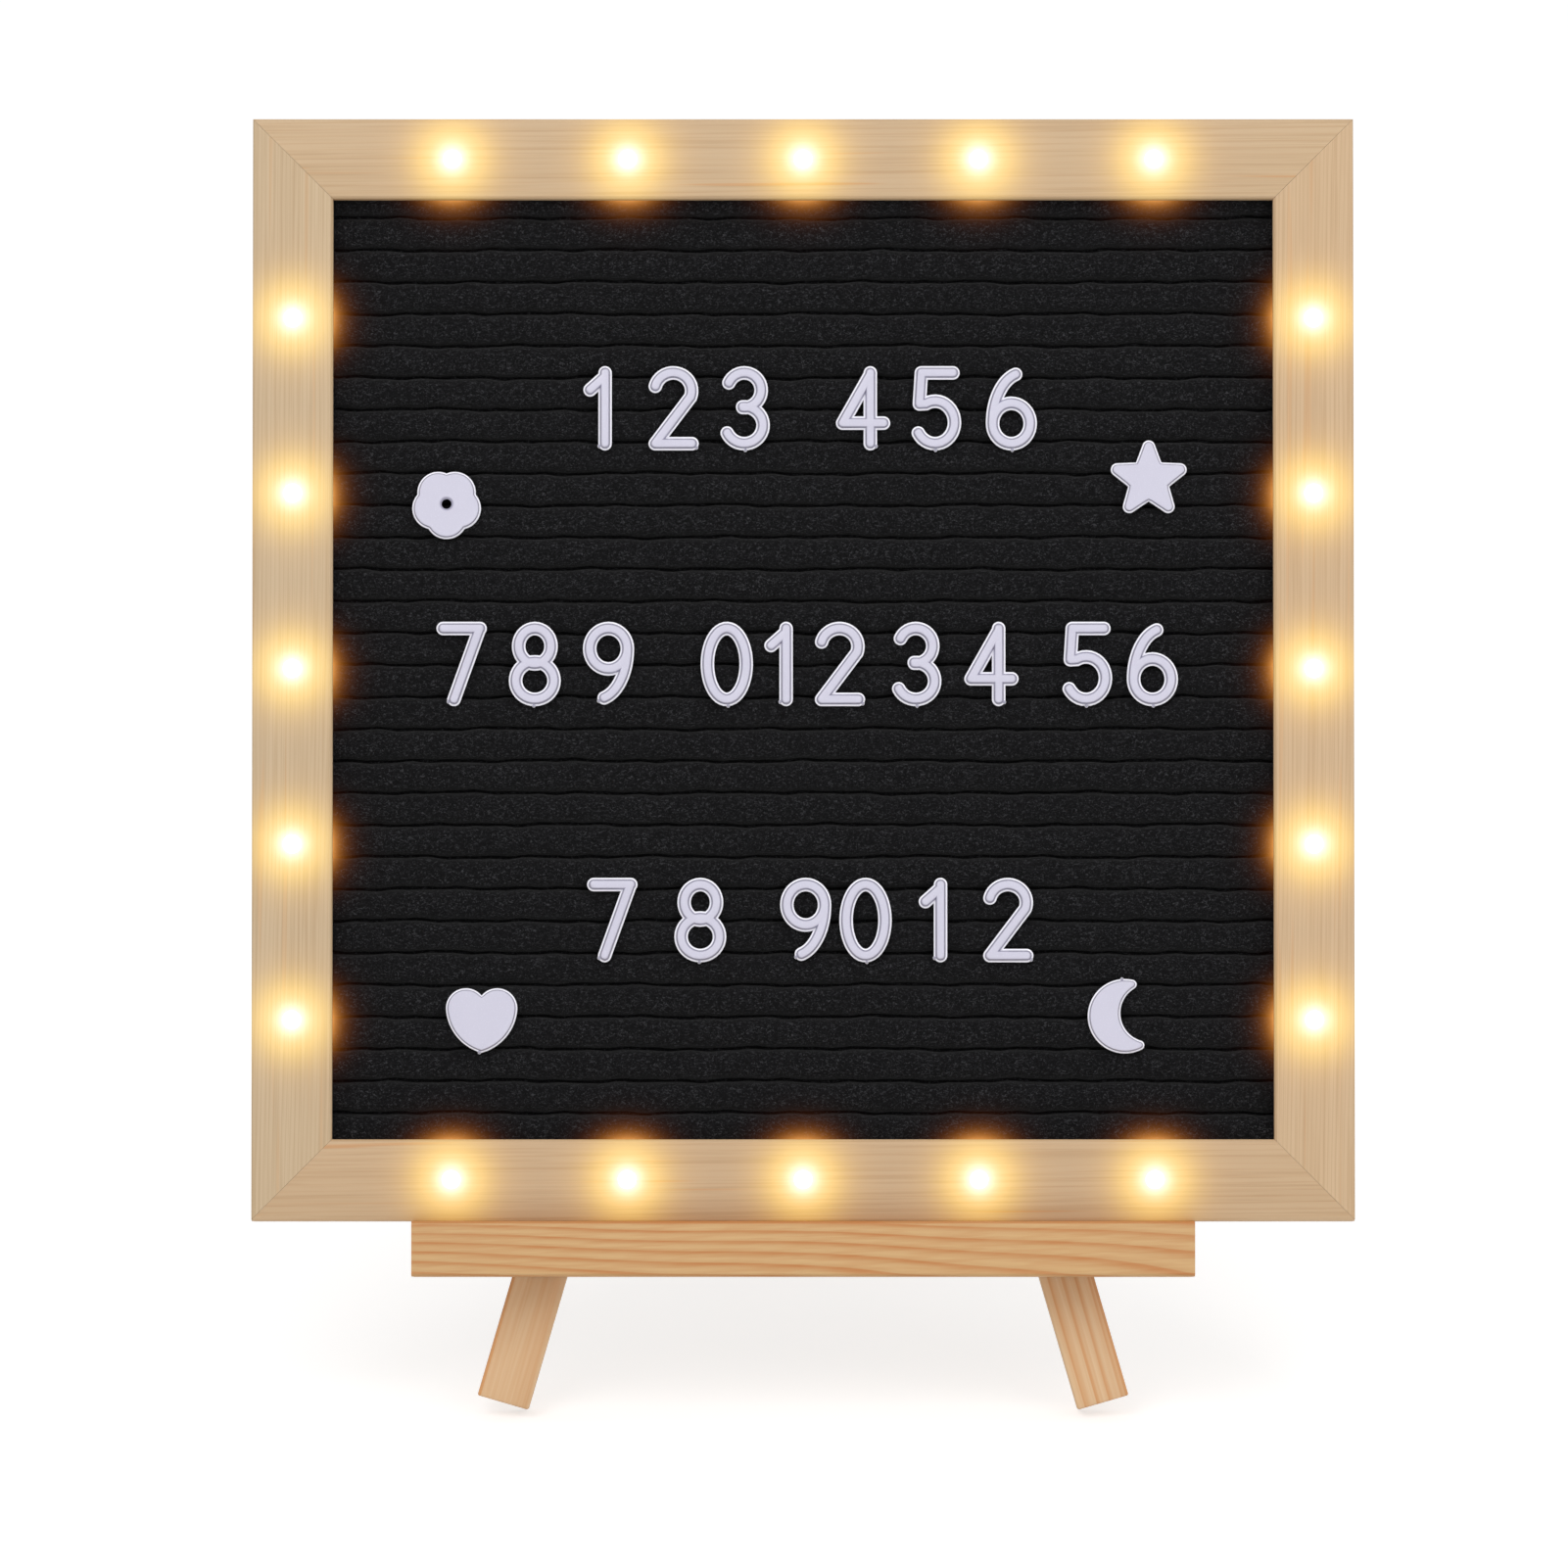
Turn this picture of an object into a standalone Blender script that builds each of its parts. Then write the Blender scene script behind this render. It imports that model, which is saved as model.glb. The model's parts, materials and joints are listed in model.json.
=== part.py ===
# Felt letter board with a lit wooden frame, standing on a small folding easel.
# Metres, +Z up, the board faces -Y. The board and the front of the easel are
# modelled upright, with z = 0 at the underside of the ledge and y = 0 at the
# back of the frame, and one empty then leans them back and stands them down.

import math

import bmesh
import bpy
from mathutils import Matrix, Vector

# Running gap between pieces that touch on the real object
CLEAR = 0.0003
# How far a cutter reaches past the face that it opens
PAST = 0.001

# Frame
BOARD_SIZE = 0.254
RAIL_WIDTH = 0.0185
RAIL_DEPTH = 0.018
RAIL_CHAMFER = 0.0007
LIP_DEPTH = 0.004
REBATE_WIDTH = 0.005
CHANNEL_WIDTH = 0.004
CHANNEL_DEPTH = 0.006

# Lights in the rails
LED_DIAMETER = 0.0037
LED_PITCH = 0.0405
LEDS_PER_RAIL = 5
LED_PROUD = 0.0006
WIRE_DIAMETER = 0.0016
LEAD_SLOT = 0.003

# Felt
GROOVE_PITCH = 0.00739
GROOVE_WIDTH = 0.0012
GROOVE_DEPTH = 0.0035
GROOVE_OFFSET = 0.0012
FELT_WEB = 0.0013
BACKING_THICKNESS = 0.003

# Characters and ornaments
STROKE_WIDTH = 0.0031
STROKE_HEIGHT = 0.002
STROKE_SHOULDER = 0.0011
STROKE_TOP_SHARE = 0.6
STROKE_OVER_GROOVE = 0.0008
CHAR_WIDTH = 0.0118
PRONG_WIDTH = 0.0024
PRONG_THICKNESS = 0.0006
PRONG_LENGTH = 0.003
ORNAMENT_RADIUS = 0.0081
PETAL_OFFSET = 0.00325
STAR_RADIUS = 0.00915
STAR_NOTCH_RADIUS = 0.005
STAR_TIP_RADIUS = 0.0015
STAR_DROP = 0.0018
HEART_WIDTH = 0.0165
HEART_LOBE_RADIUS = 0.00466
HEART_TIP_RADIUS = 0.0008
HEART_SIDE_RADIUS = 0.0112
HEART_RISE = 0.0018
MOON_RADIUS = 0.0086
MOON_THICKNESS = 0.0076
HORN_RADIUS = 0.0011
ORNAMENT_CHAMFER = 0.0005
ORNAMENT_HOLE = 0.0023

# Distances of the ornaments' middles from the sides of the opening
FLOWER_INSET = 0.0262
STAR_INSET = 0.0287
HEART_INSET = 0.0344
MOON_INSET = 0.0369

# Easel
LEAN = math.radians(16.0)
SPREAD = math.radians(34.0)
SPLAY = math.radians(16.3)
LEG_WIDTH = 0.0122
LEG_THICKNESS = 0.009
LEG_SPAN = 0.122
LEG_DROP = 0.029
APEX_RISE = 0.0014
LEDGE_LENGTH = 0.180
LEDGE_HEIGHT = 0.0128
LEDGE_DEPTH = 0.024
LEDGE_CHAMFER = 0.0006
BLOCK_HEIGHT = 0.044
BLOCK_THICKNESS = 0.010
HEEL_HEIGHT = 0.012
BLOCK_SCREW_RISE = 0.008

# Hinge of the rear leg
HINGE_WIDTH = 0.0116
LEAF_LENGTH = 0.0165
LEAF_THICKNESS = 0.0009
KNUCKLE_DIAMETER = 0.0034
HINGE_PIN_DIAMETER = 0.0015
HINGE_SCREW_DIAMETER = 0.0016
HINGE_SCREW_HEAD = 0.0032
HINGE_SCREW_LENGTH = 0.006
HINGE_SCREW_SPACING = 0.0065

# Wood screws
SCREW_DIAMETER = 0.0024
SCREW_HEAD = 0.0046
SCREW_HEAD_HEIGHT = 0.0014
LEDGE_SCREW_LENGTH = 0.020
BLOCK_SCREW_LENGTH = 0.016

# Battery box
CELL_DIAMETER = 0.0145
CELL_LENGTH = 0.0505
CELL_NUB_DIAMETER = 0.0055
CELL_NUB_LENGTH = 0.001
CONTACT_SPACE = 0.0032
CONTACT_THICKNESS = 0.0005
SPRING_WIRE = 0.0007
SPRING_TURNS = 3
BOX_WALL = 0.0018
BOX_X = 0.062
BOX_BELOW_TOP = 0.062
SWITCH_BAY = 0.009
LID_THICKNESS = 0.0016
LID_TONGUE = 0.0009
RIDGE_WIDTH = 0.0008
RIDGE_HEIGHT = 0.0006
RIDGE_PITCH = 0.002
RIDGE_INSET = 0.006
KNOB_WIDTH = 0.0026
KNOB_HEIGHT = 0.0034
KNOB_PROUD = 0.0016
KNOB_TRAVEL = 0.003
KNOB_FLANGE = 0.0011
FLANGE_RIM = 0.0012
SWITCH_END = 0.002
BOX_WIRE_HOLE = 0.002

# Three lines of plain counting numerals: rows by the groove that runs through
# their middle, counted from the board's middle groove, with each place's x
ROWS = (
    (8, "123456", (-0.0465, -0.0300, -0.0135, 0.0137, 0.0307, 0.0481)),
    (0, "7890123456", (-0.0788, -0.0619, -0.0449, -0.0176, -0.0047,
                       0.0084, 0.0261, 0.0433, 0.0655, 0.0806)),
    (-8, "789012", (-0.0440, -0.0237, 0.0006, 0.0144, 0.0309, 0.0472)),
)

# Sizes worked out from the values above
RADIUS = STROKE_WIDTH / 2
GLYPH_H = GROOVE_PITCH + STROKE_OVER_GROOVE
GLYPH_W = (CHAR_WIDTH - STROKE_WIDTH) / 2
HALF_BOARD = BOARD_SIZE / 2
HALF_OPENING = HALF_BOARD - RAIL_WIDTH
BOARD_Z = LEDGE_HEIGHT + CLEAR + HALF_BOARD
FRONT_Y = -RAIL_DEPTH
FELT_FRONT = FRONT_Y + LIP_DEPTH + CLEAR
FELT_BACK = FELT_FRONT + GROOVE_DEPTH + FELT_WEB
BACKING_FRONT = FELT_BACK + CLEAR
BACKING_BACK = BACKING_FRONT + BACKING_THICKNESS
CHANNEL_CENTRE = RAIL_WIDTH / 2
WIRE_Y = -CHANNEL_DEPTH / 2
LEG_FRONT = CLEAR
LEG_BACK = LEG_FRONT + LEG_THICKNESS
BLOCK_FRONT = LEG_BACK + CLEAR
BLOCK_BACK = BLOCK_FRONT + BLOCK_THICKNESS
APEX_Z = LEG_SPAN / 2 / math.tan(SPLAY)
LEG_TOP_Z = APEX_Z + APEX_RISE
KNUCKLE_RADIUS = KNUCKLE_DIAMETER / 2
AXIS_OFFSET = KNUCKLE_RADIUS + CLEAR
AXIS_Y = BLOCK_BACK + AXIS_OFFSET
HEEL_REACH = (HEEL_HEIGHT - (AXIS_OFFSET - CLEAR) * math.sin(SPREAD)) / math.cos(SPREAD)
AXIS_Z = LEG_TOP_Z - HEEL_REACH - CLEAR


def half_breadth(z, side):
    """Distance from the middle of the easel to a front leg's edge at height z."""
    return (APEX_Z - z) * math.tan(SPLAY) + side * LEG_WIDTH / 2 / math.cos(SPLAY)


def lean_point(y, z):
    """Where a point of the upright model comes when it leans back."""
    return (y * math.cos(LEAN) + z * math.sin(LEAN), z * math.cos(LEAN) - y * math.sin(LEAN))


# The floor is met by the inner back corners of the two square-cut front feet
FOOT_LOW_Z = -LEG_DROP - LEG_WIDTH / 2 * math.sin(SPLAY)
FLOOR_Z = lean_point(LEG_BACK, FOOT_LOW_Z)[1]
AXIS_WORLD_Y, AXIS_WORLD_Z = lean_point(AXIS_Y, AXIS_Z)
REAR_ANGLE = SPREAD - LEAN
REAR_BACK = AXIS_OFFSET + LEG_THICKNESS


def rear_length(offset):
    """Length from the hinge axis to the floor along a face of the rear leg."""
    rise = AXIS_WORLD_Z - FLOOR_Z + offset * math.sin(REAR_ANGLE)
    return rise / math.cos(REAR_ANGLE)


REAR_TIP_Y = AXIS_WORLD_Y + REAR_BACK * math.cos(REAR_ANGLE) + rear_length(REAR_BACK) * math.sin(REAR_ANGLE)
FRONT_TIP_Y = lean_point(-LEDGE_DEPTH, LEDGE_CHAMFER)[0]
MIDDLE_Y = (REAR_TIP_Y + FRONT_TIP_Y) / 2


def clear_scene():
    for old in list(bpy.data.objects):
        bpy.data.objects.remove(old, do_unlink=True)


def material(name, colour, roughness, metallic=0.0):
    made = bpy.data.materials.get(name) or bpy.data.materials.new(name)
    made.use_nodes = True
    shader = made.node_tree.nodes["Principled BSDF"]
    shader.inputs["Base Color"].default_value = (*colour, 1.0)
    shader.inputs["Roughness"].default_value = roughness
    shader.inputs["Metallic"].default_value = metallic
    return made


def empty(name, location, turn, parent=None):
    made = bpy.data.objects.new(name, None)
    bpy.context.collection.objects.link(made)
    made.parent = parent
    made.location = location
    made.rotation_euler = (turn, 0.0, 0.0)
    return made


def put(name, bm, finish=None, parent=None):
    """Turn a bmesh into an object, with its faces pointing out."""
    bmesh.ops.recalc_face_normals(bm, faces=bm.faces)
    mesh = bpy.data.meshes.new(name)
    bm.to_mesh(mesh)
    bm.free()
    if finish:
        mesh.materials.append(finish)
    made = bpy.data.objects.new(name, mesh)
    bpy.context.collection.objects.link(made)
    made.parent = parent
    return made


def combine(target, tool, operation):
    """Cut a tool out of the target, or join it on, and drop the tool.

    The tool is modelled in the target's own frame, so it takes the same parent.
    """
    tool.parent = target.parent
    change = target.modifiers.new("shape", "BOOLEAN")
    change.operation = operation
    change.solver = "EXACT"
    change.object = tool
    bpy.context.view_layer.update()
    evaluated = target.evaluated_get(bpy.context.evaluated_depsgraph_get())
    mesh = bpy.data.meshes.new_from_object(evaluated)
    target.modifiers.remove(change)
    target.data = mesh
    bpy.data.objects.remove(tool, do_unlink=True)
    return target


def cut(target, tool):
    return combine(target, tool, "DIFFERENCE")


def join(target, tool):
    return combine(target, tool, "UNION")


def smooth(made, angle=math.radians(35.0)):
    made.data.shade_smooth()
    made.data.set_sharp_from_angle(angle=angle)
    return made


def prism(outline, start, end, axis="Y"):
    """A closed outline carried from start to end along one axis.

    Along Y the outline is (x, z); along X it is (y, z).
    """
    bm = bmesh.new()
    rings = []
    for place in (start, end):
        if axis == "Y":
            ring = [bm.verts.new((a, place, b)) for a, b in outline]
        else:
            ring = [bm.verts.new((place, a, b)) for a, b in outline]
        rings.append(ring)
    count = len(outline)
    for i in range(count):
        k = (i + 1) % count
        bm.faces.new((rings[0][i], rings[0][k], rings[1][k], rings[1][i]))
    bm.faces.new(rings[0])
    bm.faces.new(rings[1])
    return bm


def box(low, high):
    bm = bmesh.new()
    bmesh.ops.create_cube(bm, size=1.0)
    size = [b - a for a, b in zip(low, high)]
    middle = [(a + b) / 2 for a, b in zip(low, high)]
    bmesh.ops.scale(bm, verts=bm.verts, vec=size)
    bmesh.ops.translate(bm, verts=bm.verts, vec=middle)
    return bm


def turned(profile, matrix, sides):
    """A profile of (radius, height) turned about local Z, closed at its ends."""
    bm = bmesh.new()
    rings = []
    for radius, height in profile:
        ring = []
        for i in range(sides):
            angle = 2 * math.pi * (i + 0.5) / sides
            ring.append(bm.verts.new((radius * math.cos(angle), radius * math.sin(angle), height)))
        rings.append(ring)
    for low, high in zip(rings, rings[1:]):
        for i in range(sides):
            k = (i + 1) % sides
            bm.faces.new((low[i], low[k], high[k], high[i]))
    bm.faces.new(rings[0])
    bm.faces.new(rings[-1])
    bmesh.ops.transform(bm, matrix=matrix, verts=bm.verts)
    return bm


def rod(radius, start, end, sides=12):
    """A round bar between two points, also used to drill holes."""
    a = Vector(start)
    b = Vector(end)
    turn = (b - a).to_track_quat("Z", "Y").to_matrix().to_4x4()
    return turned(((radius, 0.0), (radius, (b - a).length)), Matrix.Translation(a) @ turn, sides)


def merged(parts):
    """Several separate closed shapes in one bmesh, for one cut."""
    whole = bmesh.new()
    for part in parts:
        mesh = bpy.data.meshes.new("part")
        part.to_mesh(mesh)
        part.free()
        whole.from_mesh(mesh)
        bpy.data.meshes.remove(mesh)
    return whole


def led_places():
    first = -(LEDS_PER_RAIL - 1) / 2
    return [(first + i) * LED_PITCH for i in range(LEDS_PER_RAIL)]


def rail_section():
    """Rail section as (distance in from the outer edge, y)."""
    rebate = RAIL_WIDTH - REBATE_WIDTH
    near = CHANNEL_CENTRE - CHANNEL_WIDTH / 2
    far = CHANNEL_CENTRE + CHANNEL_WIDTH / 2
    return (
        (0.0, FRONT_Y),
        (RAIL_WIDTH - RAIL_CHAMFER, FRONT_Y),
        (RAIL_WIDTH, FRONT_Y + RAIL_CHAMFER),
        (RAIL_WIDTH, FRONT_Y + LIP_DEPTH),
        (rebate, FRONT_Y + LIP_DEPTH),
        (rebate, 0.0),
        (far, 0.0),
        (far, -CHANNEL_DEPTH),
        (near, -CHANNEL_DEPTH),
        (near, 0.0),
        (0.0, 0.0),
    )


def rail(name, turn, finish, parent):
    """One mitred rail with its five lamp holes, turned to its side of the frame."""
    bm = bmesh.new()
    section = rail_section()
    ends = []
    for side in (-1, 1):
        ring = []
        for inward, y in section:
            along = side * (HALF_BOARD - inward - CLEAR / 2)
            ring.append(bm.verts.new((along, y, HALF_BOARD - inward)))
        ends.append(ring)
    count = len(section)
    for i in range(count):
        k = (i + 1) % count
        bm.faces.new((ends[0][i], ends[0][k], ends[1][k], ends[1][i]))
    bm.faces.new(ends[0])
    bm.faces.new(ends[1])
    made = put(name, bm, finish, parent)
    height = HALF_BOARD - CHANNEL_CENTRE
    hole = LED_DIAMETER / 2 + CLEAR
    drills = [rod(hole, (x, FRONT_Y - PAST, height), (x, -CHANNEL_DEPTH + PAST, height))
              for x in led_places()]
    cut(made, put("drills", merged(drills)))
    if turn == 0.0:
        low = (LEAD_X - LEAD_SLOT / 2, WIRE_Y - WIRE_DIAMETER / 2 - CLEAR, height)
        high = (LEAD_X + LEAD_SLOT / 2, PAST, HALF_OPENING + REBATE_WIDTH - PAST)
        cut(made, put("lead_slot", box(low, high)))
    spin = Matrix.Rotation(turn, 4, "Y")
    made.data.transform(Matrix.Translation((0.0, 0.0, BOARD_Z)) @ spin)
    return made


# The lead leaves the top rail halfway between its last two lamps
LEAD_X = led_places()[-1] - LED_PITCH / 2


def groove_heights():
    """Groove centre lines, counted both ways from the board's middle."""
    reach = HALF_OPENING - GROOVE_WIDTH
    lowest = math.ceil((-reach - GROOVE_OFFSET) / GROOVE_PITCH)
    highest = math.floor((reach - GROOVE_OFFSET) / GROOVE_PITCH)
    return [GROOVE_OFFSET + i * GROOVE_PITCH for i in range(lowest, highest + 1)]


def felt_sheet(finish, parent):
    """Pleated felt: pillowed ribs between narrow grooves, one section run across."""
    half = HALF_OPENING + REBATE_WIDTH - CLEAR
    lip = GROOVE_WIDTH / 2
    bottom = FELT_FRONT + GROOVE_DEPTH
    outline = [(FELT_BACK, -half), (FELT_FRONT, -half)]
    for z in groove_heights():
        outline += [
            (FELT_FRONT, z - lip * 3.2),
            (FELT_FRONT + GROOVE_DEPTH * 0.08, z - lip * 2.1),
            (FELT_FRONT + GROOVE_DEPTH * 0.25, z - lip * 1.2),
            (bottom, z - lip),
            (bottom, z + lip),
            (FELT_FRONT + GROOVE_DEPTH * 0.25, z + lip * 1.2),
            (FELT_FRONT + GROOVE_DEPTH * 0.08, z + lip * 2.1),
            (FELT_FRONT, z + lip * 3.2),
        ]
    outline += [(FELT_FRONT, half), (FELT_BACK, half)]
    outline = [(y, z + BOARD_Z) for y, z in outline]
    return put("felt_sheet", prism(outline, -half, half, "X"), finish, parent)


def backing_board(finish, parent):
    half = HALF_OPENING + REBATE_WIDTH - CLEAR
    low = (-half, BACKING_FRONT, BOARD_Z - half)
    high = (half, BACKING_BACK, BOARD_Z + half)
    return put("backing_board", box(low, high), finish, parent)


def led_string(finish, parent):
    """Twenty domed lamps on one wire that runs round the frame in its channels."""
    reach = HALF_BOARD - CHANNEL_CENTRE
    thick = WIRE_DIAMETER / 2
    bm = bmesh.new()
    section = [(math.cos(a), math.sin(a)) for a in (math.pi / 3 * i for i in range(6))]
    corners = ((-1, -1), (1, -1), (1, 1), (-1, 1))
    rings = []
    for sx, sz in corners:
        ring = []
        for across, deep in section:
            spot = reach + across * thick
            ring.append(bm.verts.new((sx * spot, WIRE_Y + deep * thick, BOARD_Z + sz * spot)))
        rings.append(ring)
    for i in range(4):
        a = rings[i]
        b = rings[(i + 1) % 4]
        for j in range(6):
            k = (j + 1) % 6
            bm.faces.new((a[j], a[k], b[k], b[j]))
    made = put("led_string", bm, finish, parent)
    radius = LED_DIAMETER / 2
    base = WIRE_Y - FRONT_Y
    tip = LED_PROUD
    profile = (
        (radius * 0.6, -base),
        (radius, -base + radius),
        (radius, tip - radius * 0.75),
        (radius * 0.72, tip - radius * 0.2),
        (radius * 0.3, tip),
    )
    lamps = []
    for turn in range(4):
        spin = Matrix.Rotation(turn * math.pi / 2, 4, "Y")
        for along in led_places():
            spot = spin @ Vector((along, FRONT_Y, reach)) + Vector((0.0, 0.0, BOARD_Z))
            face = Matrix.Rotation(math.pi / 2, 4, "X")
            lamps.append(turned(profile, Matrix.Translation(spot) @ face, 8))
    join(made, put("lamps", merged(lamps)))
    top = BOARD_Z + reach
    end = BOX_TOP_Z - BOX_WALL / 2
    join(made, put("lead", rod(thick, (LEAD_X, WIRE_Y, top), (LEAD_X, WIRE_Y, end), 6)))
    return smooth(made)


# Glyph paths: (x, z) points in shares of the centre line's half width and half height
def arc(cx, cz, rx, rz, start, end, count):
    points = []
    for i in range(count + 1):
        angle = math.radians(start + (end - start) * i / count)
        points.append((cx + rx * math.cos(angle), cz + rz * math.sin(angle)))
    return points


def glyph_strokes(digit):
    """Strokes of a numeral: (points, closed), and the x of its two prongs."""
    if digit == "0":
        return [(arc(0, 0, 1.03, 1.0, 0, 340, 17), True)], (0.0, 0.0)
    if digit == "1":
        stem = [(0.18, -1.0), (0.18, 1.0)]
        flag = [(0.1, 0.86), (-0.62, 0.52)]
        return [(stem, False), (flag, False)], (0.18, 0.18)
    if digit == "2":
        hook = arc(0, 0.49, 0.98, 0.51, 165, -20, 8) + [(-0.95, -1.0)]
        base = [(-0.92, -1.0), (1.0, -1.0)]
        return [(hook, False), (base, False)], (0.0, 0.0)
    if digit == "3":
        upper = arc(-0.02, 0.51, 0.9, 0.49, 155, -95, 9)
        lower = arc(-0.02, -0.48, 1.0, 0.52, 95, -155, 9)
        return [(upper, False), (lower, False)], (0.0, 0.0)
    if digit == "4":
        slope = [(0.36, 0.9), (-1.05, -0.42)]
        bar = [(-1.01, -0.42), (1.12, -0.42)]
        stem = [(0.42, 1.0), (0.42, -1.0)]
        return [(slope, False), (bar, False), (stem, False)], (0.42, 0.42)
    if digit == "5":
        path = [(0.9, 1.0), (-0.78, 1.0), (-0.88, 0.12)]
        return [(path + arc(-0.05, -0.4, 1.03, 0.6, 118, -150, 9), False)], (0.0, 0.0)
    if digit in "69":
        ring = arc(0, -0.43, 1.0, 0.57, 0, 337.5, 15)
        tail = arc(0.62, -0.43, 1.62, 1.43, 180, 104, 6)
        side = 1.0
        if digit == "9":
            ring = [(-x, -z) for x, z in ring]
            tail = [(-x, -z) for x, z in tail]
            side = -1.0
        ends = (0.12, 0.0) if side > 0 else (0.0, -0.12)
        return [(ring, True), (tail, False)], ends
    if digit == "7":
        bar = [(-0.98, 1.0), (0.98, 1.0)]
        slant = [(0.94, 0.98), (-0.4, -1.0)]
        return [(bar, False), (slant, False)], (0.0, -0.3)
    upper = arc(0, 0.5, 0.86, 0.5, 0, 334.3, 13)
    lower = arc(0, -0.47, 1.02, 0.53, 0, 334.3, 13)
    return [(upper, True), (lower, True)], (0.0, 0.0)


def round_end(bm, here, out, side):
    """Rings of the section narrowing to a half circle past a stroke's end.

    The crown falls with the distance from the end point, as it does at the sides.
    """
    rings = []
    top = RADIUS * STROKE_TOP_SHARE
    across = Vector((out.y, -out.x)) * side
    for angle in (math.radians(42.0), math.radians(74.0)):
        past = here + out * RADIUS * math.sin(angle)
        half = RADIUS * math.cos(angle)
        inner = half * STROKE_TOP_SHARE
        away = math.hypot(RADIUS * math.sin(angle), inner)
        fall = max((away - top) / (RADIUS - top), 0.0)
        crown = -STROKE_HEIGHT + (STROKE_HEIGHT - STROKE_SHOULDER) * fall
        section = ((-half, 0.0), (-half, -STROKE_SHOULDER), (-inner, crown),
                   (inner, crown), (half, -STROKE_SHOULDER), (half, 0.0))
        rings.append([bm.verts.new((past.x + across.x * a, y, past.y + across.y * a))
                      for a, y in section])
    return rings


def stroke(path, closed):
    """The crowned stroke section carried along a path, mitred at corners, round at ends."""
    shoulder = -STROKE_SHOULDER
    top = RADIUS * STROKE_TOP_SHARE
    section = (
        (-RADIUS, 0.0),
        (-RADIUS, shoulder),
        (-top, -STROKE_HEIGHT),
        (top, -STROKE_HEIGHT),
        (RADIUS, shoulder),
        (RADIUS, 0.0),
    )
    bm = bmesh.new()
    points = [Vector(p) for p in path]
    count = len(points)
    rings = []
    if not closed:
        rings += round_end(bm, points[0], (points[0] - points[1]).normalized(), -1)[::-1]
    for i, here in enumerate(points):
        before = points[(i - 1) % count] if closed or i > 0 else None
        after = points[(i + 1) % count] if closed or i < count - 1 else None
        into = (here - before).normalized() if before else (after - here).normalized()
        out = (after - here).normalized() if after else into
        along = (into + out).normalized()
        stretch = min(1.0 / max(along.dot(into), 0.4), 2.2)
        across = Vector((along.y, -along.x)) * stretch
        rings.append([bm.verts.new((here.x + across.x * a, y, here.y + across.y * a))
                      for a, y in section])
    if not closed:
        rings += round_end(bm, points[-1], (points[-1] - points[-2]).normalized(), 1)
    pairs = list(zip(rings, rings[1:]))
    if closed:
        pairs.append((rings[-1], rings[0]))
    for low, high in pairs:
        for j in range(6):
            k = (j + 1) % 6
            bm.faces.new((low[j], low[k], high[k], high[j]))
    if not closed:
        bm.faces.new(rings[0])
        bm.faces.new(rings[-1])
    return bm


def prong(x, z):
    """A flat prong that reaches back from the plastic into a groove."""
    low = (x - PRONG_WIDTH / 2, -STROKE_SHOULDER / 2, z - PRONG_THICKNESS / 2)
    high = (x + PRONG_WIDTH / 2, PRONG_LENGTH, z + PRONG_THICKNESS / 2)
    return box(low, high)


def seat(made, x, z):
    """Press a character on to the ribs, with its middle at x and z on the felt."""
    made.location = (x, FELT_FRONT - CLEAR, BOARD_Z + z)


def numeral(name, digit, x, groove, finish, parent):
    strokes, prong_x = glyph_strokes(digit)
    made = None
    for path, closed in strokes:
        points = [(a * GLYPH_W, b * GLYPH_H) for a, b in path]
        if made is None:
            made = put(name, stroke(points, closed), finish, parent)
        else:
            join(made, put("stroke", stroke(points, closed)))
    for side, share in zip((1, -1), prong_x):
        join(made, put("prong", prong(share * GLYPH_W, side * GROOVE_PITCH)))
    seat(made, x, GROOVE_OFFSET + groove * GROOVE_PITCH)
    return smooth(made)


def plaque(name, outline, prongs, hole, x, z, finish, parent):
    """A flat ornament with a chamfered face edge, a back and its prongs."""
    bm = bmesh.new()
    rim = -(STROKE_HEIGHT - ORNAMENT_CHAMFER)
    low = [bm.verts.new((a, 0.0, b)) for a, b in outline]
    high = [bm.verts.new((a, rim, b)) for a, b in outline]
    count = len(outline)
    for i in range(count):
        k = (i + 1) % count
        bm.faces.new((low[i], low[k], high[k], high[i]))
    bm.faces.new(low)
    face = bm.faces.new(high)
    bmesh.ops.recalc_face_normals(bm, faces=bm.faces)
    bmesh.ops.inset_region(bm, faces=[face], thickness=ORNAMENT_CHAMFER,
                           depth=ORNAMENT_CHAMFER, use_even_offset=True)
    made = put(name, bm, finish, parent)
    if hole > 0.0:
        cut(made, put("hole", rod(hole / 2, (0.0, -0.01, 0.0), (0.0, 0.01, 0.0))))
    for px, pz in prongs:
        join(made, put("prong", prong(px, pz)))
    seat(made, x, z)
    return smooth(made)


def flower_outline():
    """Five round petals, one pointing down: the outer edge of five circles."""
    petal = ORNAMENT_RADIUS - PETAL_OFFSET
    points = []
    for p in range(5):
        axis = -math.pi / 2 + p * 2 * math.pi / 5
        for i in range(6):
            off = math.radians(-36.0 + 12.0 * i)
            side = PETAL_OFFSET * math.sin(off)
            reach = PETAL_OFFSET * math.cos(off) + math.sqrt(petal ** 2 - side ** 2)
            points.append((reach * math.cos(axis + off), reach * math.sin(axis + off)))
    return points


def around(centre, radius, start, end, steps):
    """Points of an arc, ends included, with angles in radians."""
    turns = [start + (end - start) * i / steps for i in range(steps + 1)]
    return [(centre[0] + radius * math.cos(a), centre[1] + radius * math.sin(a)) for a in turns]


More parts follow.
